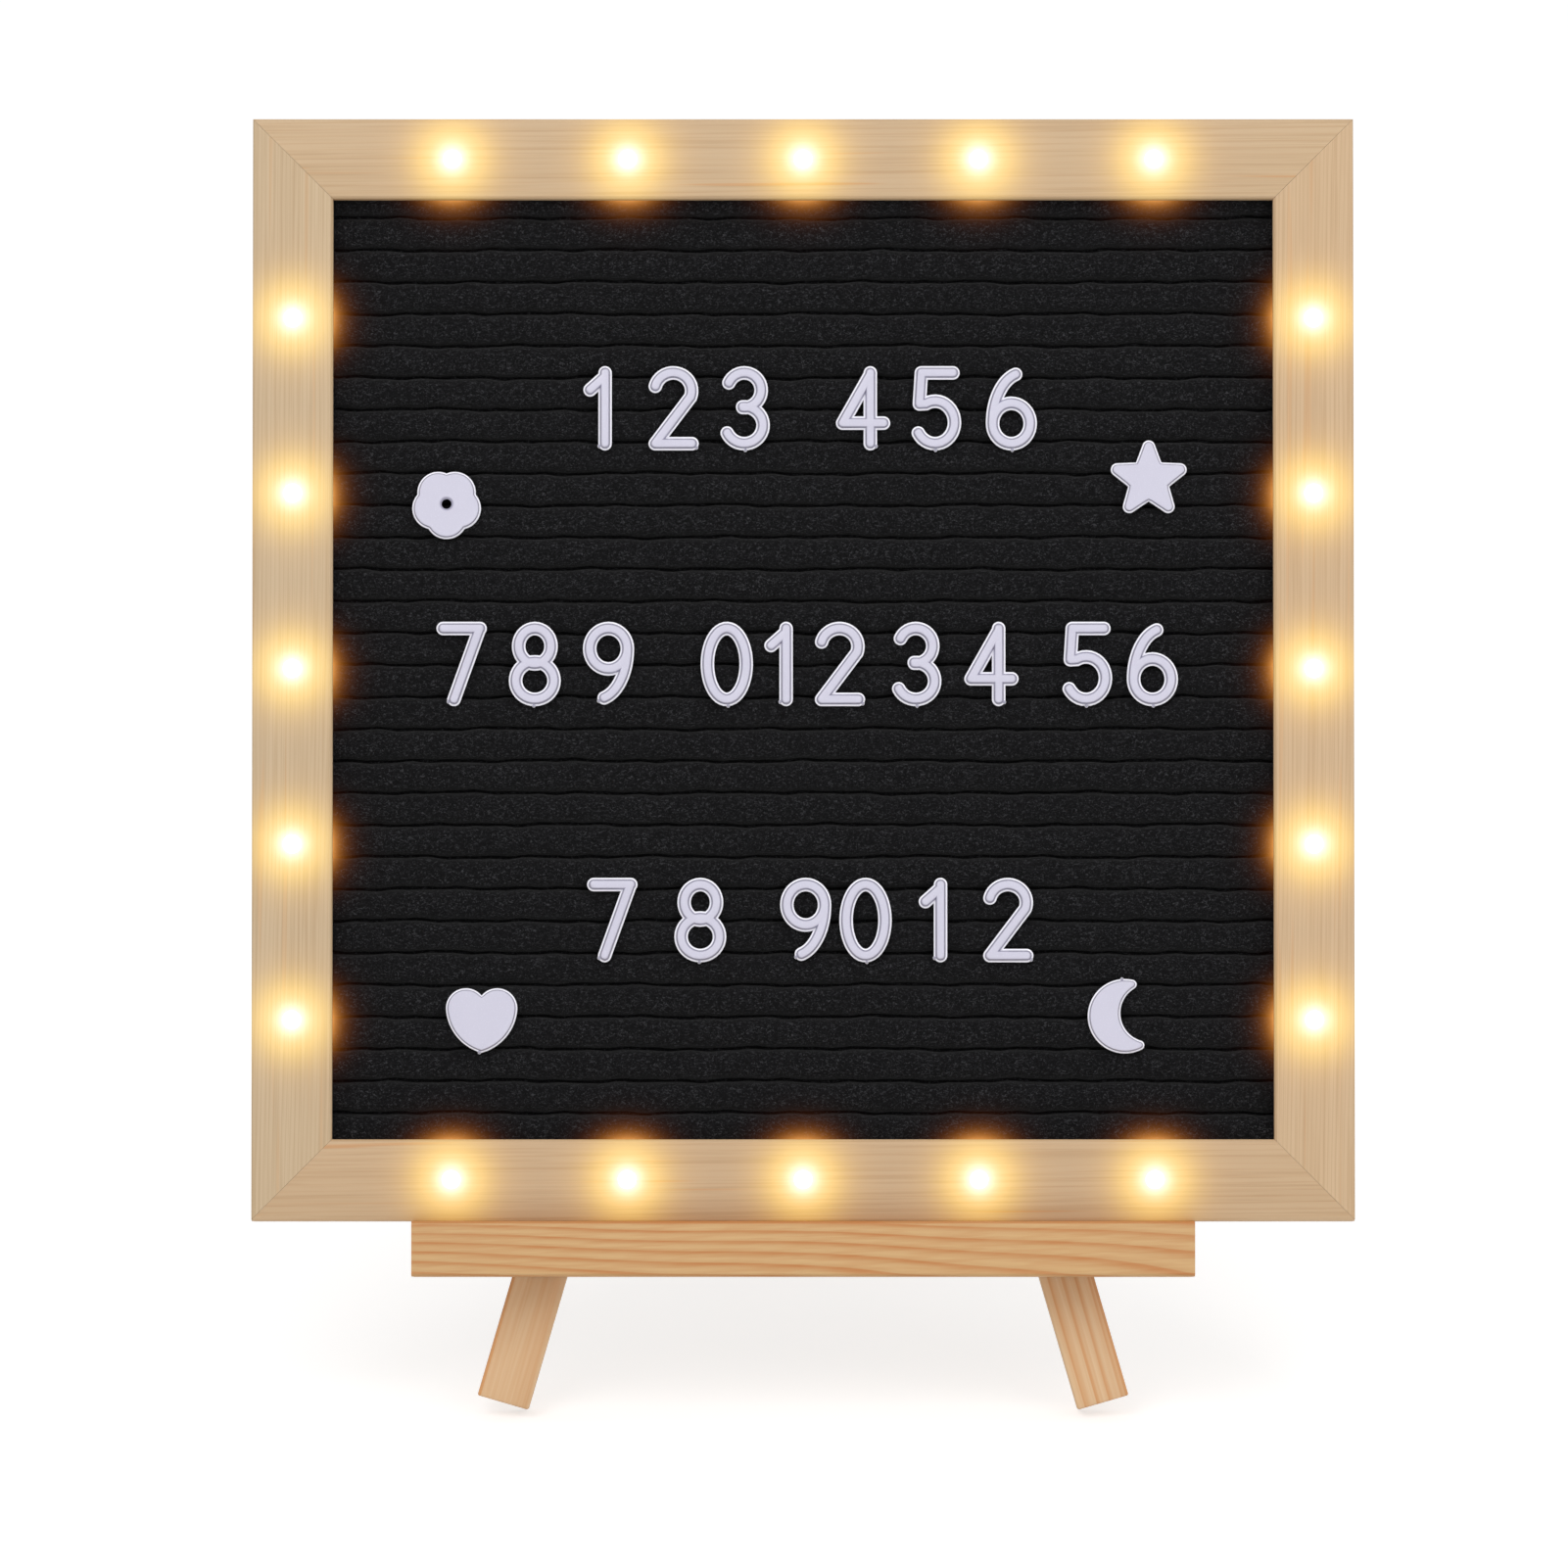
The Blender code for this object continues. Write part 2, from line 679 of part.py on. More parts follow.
def star_outline():
    """Five points: round tips, each joined to sharp notches by its tangents."""
    reach = STAR_RADIUS - STAR_TIP_RADIUS
    notch = (STAR_NOTCH_RADIUS * math.cos(math.pi / 5), STAR_NOTCH_RADIUS * math.sin(math.pi / 5))
    slant = math.atan2(-notch[1], reach - notch[0])
    slant += math.asin(STAR_TIP_RADIUS / math.hypot(reach - notch[0], notch[1]))
    facing = slant + math.pi / 2
    point = around((reach, 0.0), STAR_TIP_RADIUS, -facing, facing, 4) + [notch]
    points = []
    for p in range(5):
        turn = Matrix.Rotation(math.pi / 2 + p * 2 * math.pi / 5, 2)
        points += [tuple(turn @ Vector(spot)) for spot in point]
    return points


def heart_outline():
    """Two round lobes, each running on in a wider arc to a small round tip."""
    lobe_x = HEART_WIDTH / 2 - HEART_LOBE_RADIUS
    turn = math.radians(185.0)
    wider = HEART_SIDE_RADIUS - HEART_LOBE_RADIUS
    side = (-lobe_x - wider * math.cos(turn), HEART_RISE - wider * math.sin(turn))
    tip_z = side[1] - math.sqrt((HEART_SIDE_RADIUS - HEART_TIP_RADIUS) ** 2 - side[0] ** 2)
    facing = math.atan2(tip_z - side[1], -side[0]) + 2 * math.pi
    notch = math.acos(lobe_x / HEART_LOBE_RADIUS)
    left = around((-lobe_x, HEART_RISE), HEART_LOBE_RADIUS, notch, turn, 9)
    left += around(side, HEART_SIDE_RADIUS, turn, facing, 5)[1:]
    tip = around((0.0, tip_z), HEART_TIP_RADIUS, facing, 3 * math.pi - facing, 2)[1:-1]
    right = [(-x, z) for x, z in left[::-1]]
    return left + tip + right[:-1]


def moon_outline():
    """A crescent open to the right: outer and inner arc joined by two round horns."""
    horn = math.radians(70.4)
    reach = MOON_RADIUS - HORN_RADIUS
    hx = reach * math.cos(horn)
    hz = reach * math.sin(horn)
    gap = MOON_RADIUS - MOON_THICKNESS + HORN_RADIUS
    shift = (hx ** 2 + hz ** 2 - gap ** 2) / (2 * (hx + gap))
    inner = shift + MOON_RADIUS - MOON_THICKNESS
    bend = math.atan2(hz, shift - hx)
    points = around((0.0, 0.0), MOON_RADIUS, horn, 2 * math.pi - horn, 16)
    points += around((hx, -hz), HORN_RADIUS, -horn, bend, 5)[1:]
    points += around((shift, 0.0), inner, math.pi + bend, math.pi - bend, 10)[1:]
    points += around((hx, hz), HORN_RADIUS, -bend, horn, 5)[1:-1]
    tilt = Matrix.Rotation(math.radians(7.2), 2)
    turned_points = [tilt @ Vector(p) for p in points]
    return [(p.x + MOON_RADIUS * 0.3, p.y) for p in turned_points]


def front_leg(name, side, finish, parent):
    """A splayed front leg, square-cut at its foot and mitred at the middle."""
    half = LEG_WIDTH / 2
    foot_x = half_breadth(-LEG_DROP, 0)
    outer = (foot_x + half * math.cos(SPLAY), -LEG_DROP + half * math.sin(SPLAY))
    inner = (foot_x - half * math.cos(SPLAY), -LEG_DROP - half * math.sin(SPLAY))
    gap = CLEAR / 2
    meet = APEX_Z - (LEG_WIDTH / 2 / math.cos(SPLAY) + gap) / math.tan(SPLAY)
    outline = [outer, inner, (gap, meet), (gap, LEG_TOP_Z), (half_breadth(LEG_TOP_Z, 1), LEG_TOP_Z)]
    outline = [(side * x, z) for x, z in outline]
    made = put(name, prism(outline, LEG_FRONT, LEG_BACK), finish, parent)
    drills = [screw_hole(side * LEDGE_SCREW_X, LEDGE_SCREW_Z, LEG_FRONT - PAST, LEG_BACK + PAST),
              screw_hole(side * BLOCK_SCREW_X, BLOCK_SCREW_Z, BLOCK_SCREW_END, LEG_BACK + PAST)]
    return cut(made, put("drills", merged(drills)))


LEDGE_SCREW_Z = LEDGE_HEIGHT / 2
LEDGE_SCREW_X = half_breadth(LEDGE_SCREW_Z, 0)
LEDGE_SCREW_END = LEG_BACK - LEDGE_SCREW_LENGTH
BLOCK_SCREW_Z = LEG_TOP_Z - BLOCK_HEIGHT + BLOCK_SCREW_RISE
BLOCK_SCREW_X = half_breadth(BLOCK_SCREW_Z, 0)
BLOCK_SCREW_END = BLOCK_BACK - BLOCK_SCREW_LENGTH


def screw_hole(x, z, start, end):
    radius = SCREW_DIAMETER / 2 + CLEAR
    return rod(radius, (x, start, z), (x, end, z), 8)


def wood_screw(name, x, z, seat_y, length, finish, parent):
    """A round-headed screw driven forward from a back face."""
    radius = SCREW_DIAMETER / 2
    head = SCREW_HEAD / 2
    profile = (
        (radius * 0.3, -length + CLEAR),
        (radius, -length + CLEAR + radius * 2),
        (radius, CLEAR),
        (head, CLEAR),
        (head * 0.8, CLEAR + SCREW_HEAD_HEIGHT * 0.7),
        (head * 0.35, CLEAR + SCREW_HEAD_HEIGHT),
    )
    face = Matrix.Rotation(-math.pi / 2, 4, "X")
    bm = turned(profile, Matrix.Translation((x, seat_y, z)) @ face, 8)
    return smooth(put(name, bm, finish, parent))


def ledge(finish, parent):
    """The strip that the board stands on, its long edges eased."""
    c = LEDGE_CHAMFER
    outline = (
        (-LEDGE_DEPTH, c),
        (-LEDGE_DEPTH + c, 0.0),
        (0.0, 0.0),
        (0.0, LEDGE_HEIGHT),
        (-LEDGE_DEPTH + c, LEDGE_HEIGHT),
        (-LEDGE_DEPTH, LEDGE_HEIGHT - c),
    )
    half = LEDGE_LENGTH / 2
    made = put("ledge", prism(outline, -half, half, "X"), finish, parent)
    drills = [screw_hole(s * LEDGE_SCREW_X, LEDGE_SCREW_Z, LEDGE_SCREW_END - CLEAR, PAST)
              for s in (-1, 1)]
    return cut(made, put("drills", merged(drills)))


def head_block(finish, parent):
    """The tapered block that ties the front legs together and carries the hinge."""
    bottom = LEG_TOP_Z - BLOCK_HEIGHT
    low = half_breadth(bottom, 1)
    high = half_breadth(LEG_TOP_Z, 1)
    outline = ((-low, bottom), (low, bottom), (high, LEG_TOP_Z), (-high, LEG_TOP_Z))
    made = put("head_block", prism(outline, BLOCK_FRONT, BLOCK_BACK), finish, parent)
    drills = [screw_hole(s * BLOCK_SCREW_X, BLOCK_SCREW_Z, BLOCK_FRONT - PAST, BLOCK_BACK + PAST)
              for s in (-1, 1)]
    radius = HINGE_SCREW_DIAMETER / 2 + CLEAR
    for z in hinge_screw_heights():
        far = BLOCK_BACK - HINGE_SCREW_LENGTH - CLEAR
        drills.append(rod(radius, (0.0, far, AXIS_Z + z), (0.0, BLOCK_BACK + PAST, AXIS_Z + z), 8))
    return cut(made, put("drills", merged(drills)))


def hinge_screw_heights():
    middle = -(KNUCKLE_RADIUS + LEAF_LENGTH) / 2 - CLEAR
    return (middle + HINGE_SCREW_SPACING / 2, middle - HINGE_SCREW_SPACING / 2)


def rear_leg(finish, parent):
    """The rear leg in its folded place about the hinge axis.

    Its heel is bevelled, so that the bevel lies flat against the head block when
    the leg is open, and its foot is cut to lie flat on the floor.
    """
    gap = AXIS_OFFSET - CLEAR
    reach = (AXIS_OFFSET + gap * math.cos(SPREAD)) / math.sin(SPREAD)
    bevel_z = gap * math.sin(SPREAD) + reach * math.cos(SPREAD)
    bevel_y = HEEL_REACH * math.sin(SPREAD) - gap * math.cos(SPREAD)
    outline = (
        (AXIS_OFFSET, -rear_length(AXIS_OFFSET)),
        (AXIS_OFFSET, bevel_z),
        (bevel_y, HEEL_HEIGHT),
        (REAR_BACK, HEEL_HEIGHT),
        (REAR_BACK, -rear_length(REAR_BACK)),
    )
    half = LEG_WIDTH / 2
    made = put("rear_leg", prism(outline, -half, half, "X"), finish, parent)
    radius = HINGE_SCREW_DIAMETER / 2 + CLEAR
    far = AXIS_OFFSET + HINGE_SCREW_LENGTH + CLEAR
    drills = [rod(radius, (0.0, AXIS_OFFSET - PAST, z), (0.0, far, z), 8)
              for z in hinge_screw_heights()]
    return cut(made, put("drills", merged(drills)))


def countersink(side, z, extra, length):
    """A countersunk screw, or with extra its hole, against the wood on one side."""
    radius = HINGE_SCREW_DIAMETER / 2 + extra
    head = HINGE_SCREW_HEAD / 2 + extra
    face = KNUCKLE_RADIUS - LEAF_THICKNESS
    profile = ((head, 0.0), (radius, LEAF_THICKNESS * 0.8), (radius, length))
    turn = Matrix.Rotation(-side * math.pi / 2, 4, "X")
    return turned(profile, Matrix.Translation((0.0, side * face, z)) @ turn, 10)


def hinge_leaf(name, side, finish, parent):
    """A leaf with its knuckles: the fixed one has the outer two, the other the middle."""
    third = HINGE_WIDTH / 3
    half = HINGE_WIDTH / 2
    inner = side * (KNUCKLE_RADIUS - LEAF_THICKNESS)
    outer = side * KNUCKLE_RADIUS
    low = min(inner, outer)
    high = max(inner, outer)
    made = put(name, box((-half, low, -LEAF_LENGTH), (half, high, 0.0)), finish, parent)
    join(made, put("barrel", rod(KNUCKLE_RADIUS, (-half, 0.0, 0.0), (half, 0.0, 0.0), 12)))
    reach = KNUCKLE_RADIUS + CLEAR
    middle = third / 2 + CLEAR / 2
    if side < 0:
        slots = [box((-middle, -reach - PAST, -reach), (middle, reach, reach))]
    else:
        near = third / 2 - CLEAR / 2
        slots = [box((near, -reach, -reach), (half + PAST, reach + PAST, reach)),
                 box((-half - PAST, -reach, -reach), (-near, reach + PAST, reach))]
    cut(made, put("slots", merged(slots)))
    bore = HINGE_PIN_DIAMETER / 2 + CLEAR
    cut(made, put("bore", rod(bore, (-half - PAST, 0.0, 0.0), (half + PAST, 0.0, 0.0), 12)))
    holes = [countersink(side, z, CLEAR, LEAF_THICKNESS * 2) for z in hinge_screw_heights()]
    cut(made, put("holes", merged(holes)))
    return smooth(made)


def hinge_pin(finish, parent):
    """A pin with a flat head riveted over at each end."""
    shank = HINGE_PIN_DIAMETER / 2
    head = HINGE_PIN_DIAMETER * 0.85
    half = HINGE_WIDTH / 2 + CLEAR
    tip = half + LEAF_THICKNESS * 0.6
    profile = ((head * 0.7, -tip), (head, -half), (shank, -half),
               (shank, half), (head, half), (head * 0.7, tip))
    bm = turned(profile, Matrix.Rotation(math.pi / 2, 4, "Y"), 10)
    return smooth(put("hinge_pin", bm, finish, parent))


# Battery box, measured from the middle of the two cells
CELL_R = CELL_DIAMETER / 2
BAY_LENGTH = CELL_LENGTH + CELL_NUB_LENGTH + 2 * CONTACT_SPACE
BAY_HEIGHT = 2 * CELL_DIAMETER + 3 * CLEAR
BOX_HEIGHT = BAY_HEIGHT + 2 * BOX_WALL
BOX_Z = BOARD_Z + HALF_BOARD - BOX_BELOW_TOP
BOX_TOP_Z = BOX_Z + BOX_HEIGHT / 2
BOX_BACK_Y = BACKING_BACK + CLEAR
BAY_FLOOR_Y = BOX_BACK_Y + BOX_WALL
CELL_Y = BAY_FLOOR_Y + CLEAR + CELL_R
LID_LOW_Y = CELL_Y + CELL_R + CLEAR
LID_HIGH_Y = LID_LOW_Y + LID_THICKNESS
BAY_LEFT = BOX_X - BAY_LENGTH / 2
BAY_RIGHT = BOX_X + BAY_LENGTH / 2
BOX_LEFT = BAY_LEFT - BOX_WALL - SWITCH_BAY - BOX_WALL
BOX_RIGHT = BAY_RIGHT + BOX_WALL
SWITCH_X = BAY_LEFT - BOX_WALL - SWITCH_BAY / 2
SWITCH_ROOF_Y = LID_HIGH_Y - BOX_WALL


def lid_section(extra):
    """Section of the lid as (y, z): a plate with a tongue along each side."""
    half = BAY_HEIGHT / 2 - CLEAR + extra
    tongue = half + LID_TONGUE
    step = LID_LOW_Y + LID_THICKNESS / 2
    top = LID_HIGH_Y + (PAST if extra else 0.0)
    points = (
        (LID_LOW_Y - extra, -tongue),
        (step + extra, -tongue),
        (step + extra, -half),
        (top, -half),
        (top, half),
        (step + extra, half),
        (step + extra, tongue),
        (LID_LOW_Y - extra, tongue),
    )
    return [(y, z + BOX_Z) for y, z in points]


def battery_case(finish, parent):
    """The moulded box: a cell bay open at the back and a bay for the switch."""
    half = BOX_HEIGHT / 2
    made = put("battery_case", box((BOX_LEFT, BOX_BACK_Y, BOX_Z - half),
                                   (BOX_RIGHT, LID_HIGH_Y, BOX_Z + half)), finish, parent)
    bay = box((BAY_LEFT, BAY_FLOOR_Y, BOX_Z - BAY_HEIGHT / 2),
              (BAY_RIGHT, LID_HIGH_Y + PAST, BOX_Z + BAY_HEIGHT / 2))
    cut(made, put("bay", bay))
    cut(made, put("track", prism(lid_section(CLEAR), BAY_LEFT - CLEAR, BOX_RIGHT + PAST, "X")))
    switch_half = BAY_HEIGHT / 2
    room = box((SWITCH_X - SWITCH_BAY / 2, BAY_FLOOR_Y, BOX_Z - switch_half),
               (SWITCH_X + SWITCH_BAY / 2, SWITCH_ROOF_Y, BOX_Z + switch_half))
    cut(made, put("room", room))
    slot_x = KNOB_WIDTH / 2 + CLEAR
    slot_z = KNOB_HEIGHT / 2 + KNOB_TRAVEL / 2 + CLEAR
    slot = box((SWITCH_X - slot_x, SWITCH_ROOF_Y - PAST, BOX_Z - slot_z),
               (SWITCH_X + slot_x, LID_HIGH_Y + PAST, BOX_Z + slot_z))
    cut(made, put("slot", slot))
    pass_y = BAY_FLOOR_Y + CELL_R / 2
    wires = [rod(BOX_WIRE_HOLE / 2, (BAY_LEFT - BOX_WALL - PAST, pass_y, BOX_Z),
                 (BAY_LEFT + PAST, pass_y, BOX_Z), 8),
             rod(WIRE_DIAMETER / 2 + CLEAR, (LEAD_X, WIRE_Y, BOX_TOP_Z - BOX_WALL - PAST),
                 (LEAD_X, WIRE_Y, BOX_TOP_Z + PAST), 6)]
    cut(made, put("wires", merged(wires)))
    return made


def battery_lid(finish, parent):
    """The sliding lid, with three finger ridges at its outer end."""
    made = put("battery_lid", prism(lid_section(0.0), BAY_LEFT, BOX_RIGHT, "X"), finish, parent)
    half = BAY_HEIGHT * 0.3
    ridges = []
    for i in range(3):
        x = BOX_RIGHT - RIDGE_INSET - i * RIDGE_PITCH
        ridges.append(box((x, LID_HIGH_Y - LID_THICKNESS / 2, BOX_Z - half),
                          (x + RIDGE_WIDTH, LID_HIGH_Y + RIDGE_HEIGHT, BOX_Z + half)))
    return join(made, put("ridges", merged(ridges)))


def switch_knob(finish, parent):
    """The slide button, held under the roof of its bay by a flange."""
    top = SWITCH_ROOF_Y - CLEAR
    bottom = top - KNOB_FLANGE
    x = KNOB_WIDTH / 2
    shift = -KNOB_TRAVEL / 2
    z = KNOB_HEIGHT / 2
    wide = KNOB_WIDTH / 2 + FLANGE_RIM
    tall = KNOB_HEIGHT / 2 + FLANGE_RIM
    middle = BOX_Z + shift
    made = put("switch_knob", box((SWITCH_X - x, bottom + KNOB_FLANGE / 2, middle - z),
                                  (SWITCH_X + x, LID_HIGH_Y + KNOB_PROUD, middle + z)), finish, parent)
    flange = box((SWITCH_X - wide, bottom, middle - tall), (SWITCH_X + wide, top, middle + tall))
    return join(made, put("flange", flange))


def switch_body(finish, parent):
    """The switch itself, on the floor of its bay under the button."""
    top = SWITCH_ROOF_Y - 2 * CLEAR - KNOB_FLANGE
    half_x = SWITCH_BAY / 2 - 2 * CLEAR
    half_z = KNOB_HEIGHT / 2 + KNOB_TRAVEL + SWITCH_END
    low = (SWITCH_X - half_x, BAY_FLOOR_Y + CLEAR, BOX_Z - half_z)
    high = (SWITCH_X + half_x, top, BOX_Z + half_z)
    return put("switch_body", box(low, high), finish, parent)


def cell(name, side, finish, parent):
    """One cell; the two lie head to tail."""
    z = BOX_Z + side * (CELL_R + CLEAR / 2)
    half = CELL_LENGTH / 2
    edge = CELL_R * 0.94
    nub = CELL_NUB_DIAMETER / 2
    profile = ((edge, -half), (CELL_R, -half + CELL_R * 0.06), (CELL_R, half - CELL_R * 0.06),
               (edge, half), (nub, half), (nub, half + CELL_NUB_LENGTH))
    turn = Matrix.Rotation(side * math.pi / 2, 4, "Y")
    shift = -side * CELL_NUB_LENGTH / 2
    bm = turned(profile, Matrix.Translation((BOX_X + shift, CELL_Y, z)) @ turn, 16)
    return smooth(put(name, bm, finish, parent))


def contact(name, side, z_low, z_high, finish, parent):
    """A thin plate that stands against an end wall of the bay."""
    wall = BAY_RIGHT if side > 0 else BAY_LEFT
    x_wall = wall - side * CLEAR
    x_face = x_wall - side * CONTACT_THICKNESS
    low = (min(x_wall, x_face), BAY_FLOOR_Y + CLEAR, z_low)
    high = (max(x_wall, x_face), CELL_Y + CELL_R * 0.5, z_high)
    return put(name, box(low, high), finish, parent)


def contact_spring(name, side, row, finish, parent):
    """A conical spring between a contact plate and the flat end of a cell."""
    curve = bpy.data.curves.new(name, "CURVE")
    curve.dimensions = "3D"
    curve.bevel_depth = SPRING_WIRE / 2
    curve.bevel_resolution = 0
    curve.use_fill_caps = True
    run = curve.splines.new("POLY")
    steps = SPRING_TURNS * 9
    wall = BAY_RIGHT if side > 0 else BAY_LEFT
    start = wall - side * (CONTACT_THICKNESS + 2 * CLEAR + SPRING_WIRE / 2)
    length = CONTACT_SPACE - CONTACT_THICKNESS - 3 * CLEAR - SPRING_WIRE
    z = BOX_Z + row * (CELL_R + CLEAR / 2)
    run.points.add(steps)
    for i in range(steps + 1):
        share = i / steps
        angle = 2 * math.pi * SPRING_TURNS * share
        radius = CELL_R * (0.62 - 0.36 * share)
        run.points[i].co = (start - side * length * share, CELL_Y + radius * math.cos(angle),
                            z + radius * math.sin(angle), 1.0)
    made = bpy.data.objects.new(name, curve)
    bpy.context.collection.objects.link(made)
    mesh = bpy.data.meshes.new_from_object(made)
    bpy.data.objects.remove(made, do_unlink=True)
    bm = bmesh.new()
    bm.from_mesh(mesh)
    bmesh.ops.remove_doubles(bm, verts=bm.verts, dist=1e-7)
    return smooth(put(name, bm, finish, parent))


def build_board(finishes, lean):
    quarter = math.pi / 2
    sides = (("top_rail", 0.0), ("right_rail", quarter), ("bottom_rail", 2 * quarter),
             ("left_rail", 3 * quarter))
    for name, turn in sides:
        rail(name, turn, finishes["frame_wood"], lean)
    felt_sheet(finishes["felt"], lean)
    backing_board(finishes["fibreboard"], lean)
    led_string(finishes["lamp"], lean)


def build_characters(finishes, lean):
    count = 0
    for groove, text, places in ROWS:
        for digit, x in zip(text, places):
            count += 1
            name = "numeral_%02d_%s" % (count, digit)
            numeral(name, digit, x, groove, finishes["letter_plastic"], lean)
    plastic = finishes["letter_plastic"]
    span = ORNAMENT_RADIUS * 0.5
    high = GROOVE_OFFSET + 5 * GROOVE_PITCH
    plaque("flower", flower_outline(), ((-span, 0.0), (span, 0.0)), ORNAMENT_HOLE,
           FLOWER_INSET - HALF_OPENING, high, plastic, lean)
    star_z = GROOVE_OFFSET + 6 * GROOVE_PITCH
    plaque("star", star_outline(), ((-0.003, STAR_DROP), (0.003, STAR_DROP)), 0.0,
           HALF_OPENING - STAR_INSET, star_z - STAR_DROP, plastic, lean)
    low = GROOVE_OFFSET - 11 * GROOVE_PITCH
    plaque("heart", heart_outline(), ((-0.004, 0.0), (0.004, 0.0)), 0.0,
           HEART_INSET - HALF_OPENING, low, plastic, lean)
    tips = ((0.0, GROOVE_PITCH), (0.001, -GROOVE_PITCH))
    plaque("moon", moon_outline(), tips, 0.0, HALF_OPENING - MOON_INSET, low, plastic, lean)


def build_battery_box(finishes, lean):
    metal = finishes["contact_metal"]
    battery_case(finishes["black_plastic"], lean)
    battery_lid(finishes["black_plastic"], lean)
    switch_knob(finishes["black_plastic"], lean)
    switch_body(finishes["black_plastic"], lean)
    cell("upper_cell", 1, finishes["cell_wrap"], lean)
    cell("lower_cell", -1, finishes["cell_wrap"], lean)
    edge = BAY_HEIGHT / 2 - 2 * CLEAR
    contact("contact_bridge", 1, BOX_Z - edge, BOX_Z + edge, metal, lean)
    contact("upper_contact", -1, BOX_Z + CLEAR, BOX_Z + edge, metal, lean)
    contact("lower_contact", -1, BOX_Z - edge, BOX_Z - CLEAR, metal, lean)
    contact_spring("contact_spring", -1, 1, metal, lean)


def build_easel(finishes, lean, axis, fold):
    wood = finishes["easel_wood"]
    steel = finishes["screw_steel"]
    brass = finishes["hinge_brass"]
    ledge(wood, lean)
    for name, side in (("left", -1), ("right", 1)):
        front_leg(name + "_front_leg", side, wood, lean)
        wood_screw(name + "_ledge_screw", side * LEDGE_SCREW_X, LEDGE_SCREW_Z, LEG_BACK,
                   LEDGE_SCREW_LENGTH, steel, lean)
        wood_screw(name + "_block_screw", side * BLOCK_SCREW_X, BLOCK_SCREW_Z, BLOCK_BACK,
                   BLOCK_SCREW_LENGTH, steel, lean)
    head_block(wood, lean)
    rear_leg(wood, fold)
    hinge_leaf("fixed_leaf", -1, brass, axis)
    hinge_leaf("moving_leaf", 1, brass, fold)
    hinge_pin(brass, axis)
    for i, z in enumerate(hinge_screw_heights()):
        for name, side, carrier in (("block_hinge_screw", -1, axis), ("leg_hinge_screw", 1, fold)):
            length = LEAF_THICKNESS + HINGE_SCREW_LENGTH
            bm = countersink(side, z, 0.0, length)
            smooth(put("%s_%d" % (name, i + 1), bm, brass, carrier))


def main():
    clear_scene()
    finishes = {
        "frame_wood": material("frame_wood", (0.60, 0.45, 0.28), 0.55),
        "easel_wood": material("easel_wood", (0.56, 0.33, 0.15), 0.6),
        "felt": material("felt", (0.012, 0.012, 0.014), 0.95),
        "fibreboard": material("fibreboard", (0.30, 0.20, 0.12), 0.8),
        "lamp": material("lamp", (1.0, 0.86, 0.6), 0.25),
        "letter_plastic": material("letter_plastic", (0.70, 0.68, 0.76), 0.35),
        "black_plastic": material("black_plastic", (0.03, 0.03, 0.03), 0.45),
        "cell_wrap": material("cell_wrap", (0.10, 0.12, 0.15), 0.3, 0.4),
        "contact_metal": material("contact_metal", (0.75, 0.74, 0.70), 0.3, 1.0),
        "screw_steel": material("screw_steel", (0.62, 0.62, 0.64), 0.35, 1.0),
        "hinge_brass": material("hinge_brass", (0.72, 0.52, 0.22), 0.35, 1.0),
    }
    lean = empty("lean", (0.0, -MIDDLE_Y, -FLOOR_Z), -LEAN)
    axis = empty("hinge_axis", (0.0, AXIS_Y, AXIS_Z), 0.0, lean)
    fold = empty("rear_leg_fold", (0.0, 0.0, 0.0), SPREAD, axis)
    build_board(finishes, lean)
    build_characters(finishes, lean)
    build_battery_box(finishes, lean)
    build_easel(finishes, lean, axis, fold)
    bpy.context.view_layer.update()


main()
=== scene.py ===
import json
import math

import bmesh
import bpy
import numpy as np
from mathutils import Matrix, Vector

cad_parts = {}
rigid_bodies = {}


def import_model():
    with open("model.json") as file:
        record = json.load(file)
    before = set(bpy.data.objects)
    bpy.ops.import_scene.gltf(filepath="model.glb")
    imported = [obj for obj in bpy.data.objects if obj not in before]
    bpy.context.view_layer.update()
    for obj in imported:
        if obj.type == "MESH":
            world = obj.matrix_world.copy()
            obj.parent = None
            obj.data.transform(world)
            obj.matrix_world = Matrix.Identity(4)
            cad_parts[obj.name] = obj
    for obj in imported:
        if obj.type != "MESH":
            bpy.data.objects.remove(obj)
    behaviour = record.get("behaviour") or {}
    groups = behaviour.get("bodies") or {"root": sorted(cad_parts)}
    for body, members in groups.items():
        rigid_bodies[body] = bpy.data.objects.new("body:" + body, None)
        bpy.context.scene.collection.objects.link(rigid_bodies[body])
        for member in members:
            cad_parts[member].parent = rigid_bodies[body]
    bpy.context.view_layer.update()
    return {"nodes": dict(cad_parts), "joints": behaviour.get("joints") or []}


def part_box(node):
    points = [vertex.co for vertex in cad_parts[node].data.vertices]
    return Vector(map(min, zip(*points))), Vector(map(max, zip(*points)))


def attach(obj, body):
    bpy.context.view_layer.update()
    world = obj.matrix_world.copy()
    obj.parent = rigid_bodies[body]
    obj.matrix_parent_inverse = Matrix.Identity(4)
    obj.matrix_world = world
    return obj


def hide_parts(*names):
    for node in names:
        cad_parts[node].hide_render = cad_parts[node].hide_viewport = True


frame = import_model()
mm = 0.001

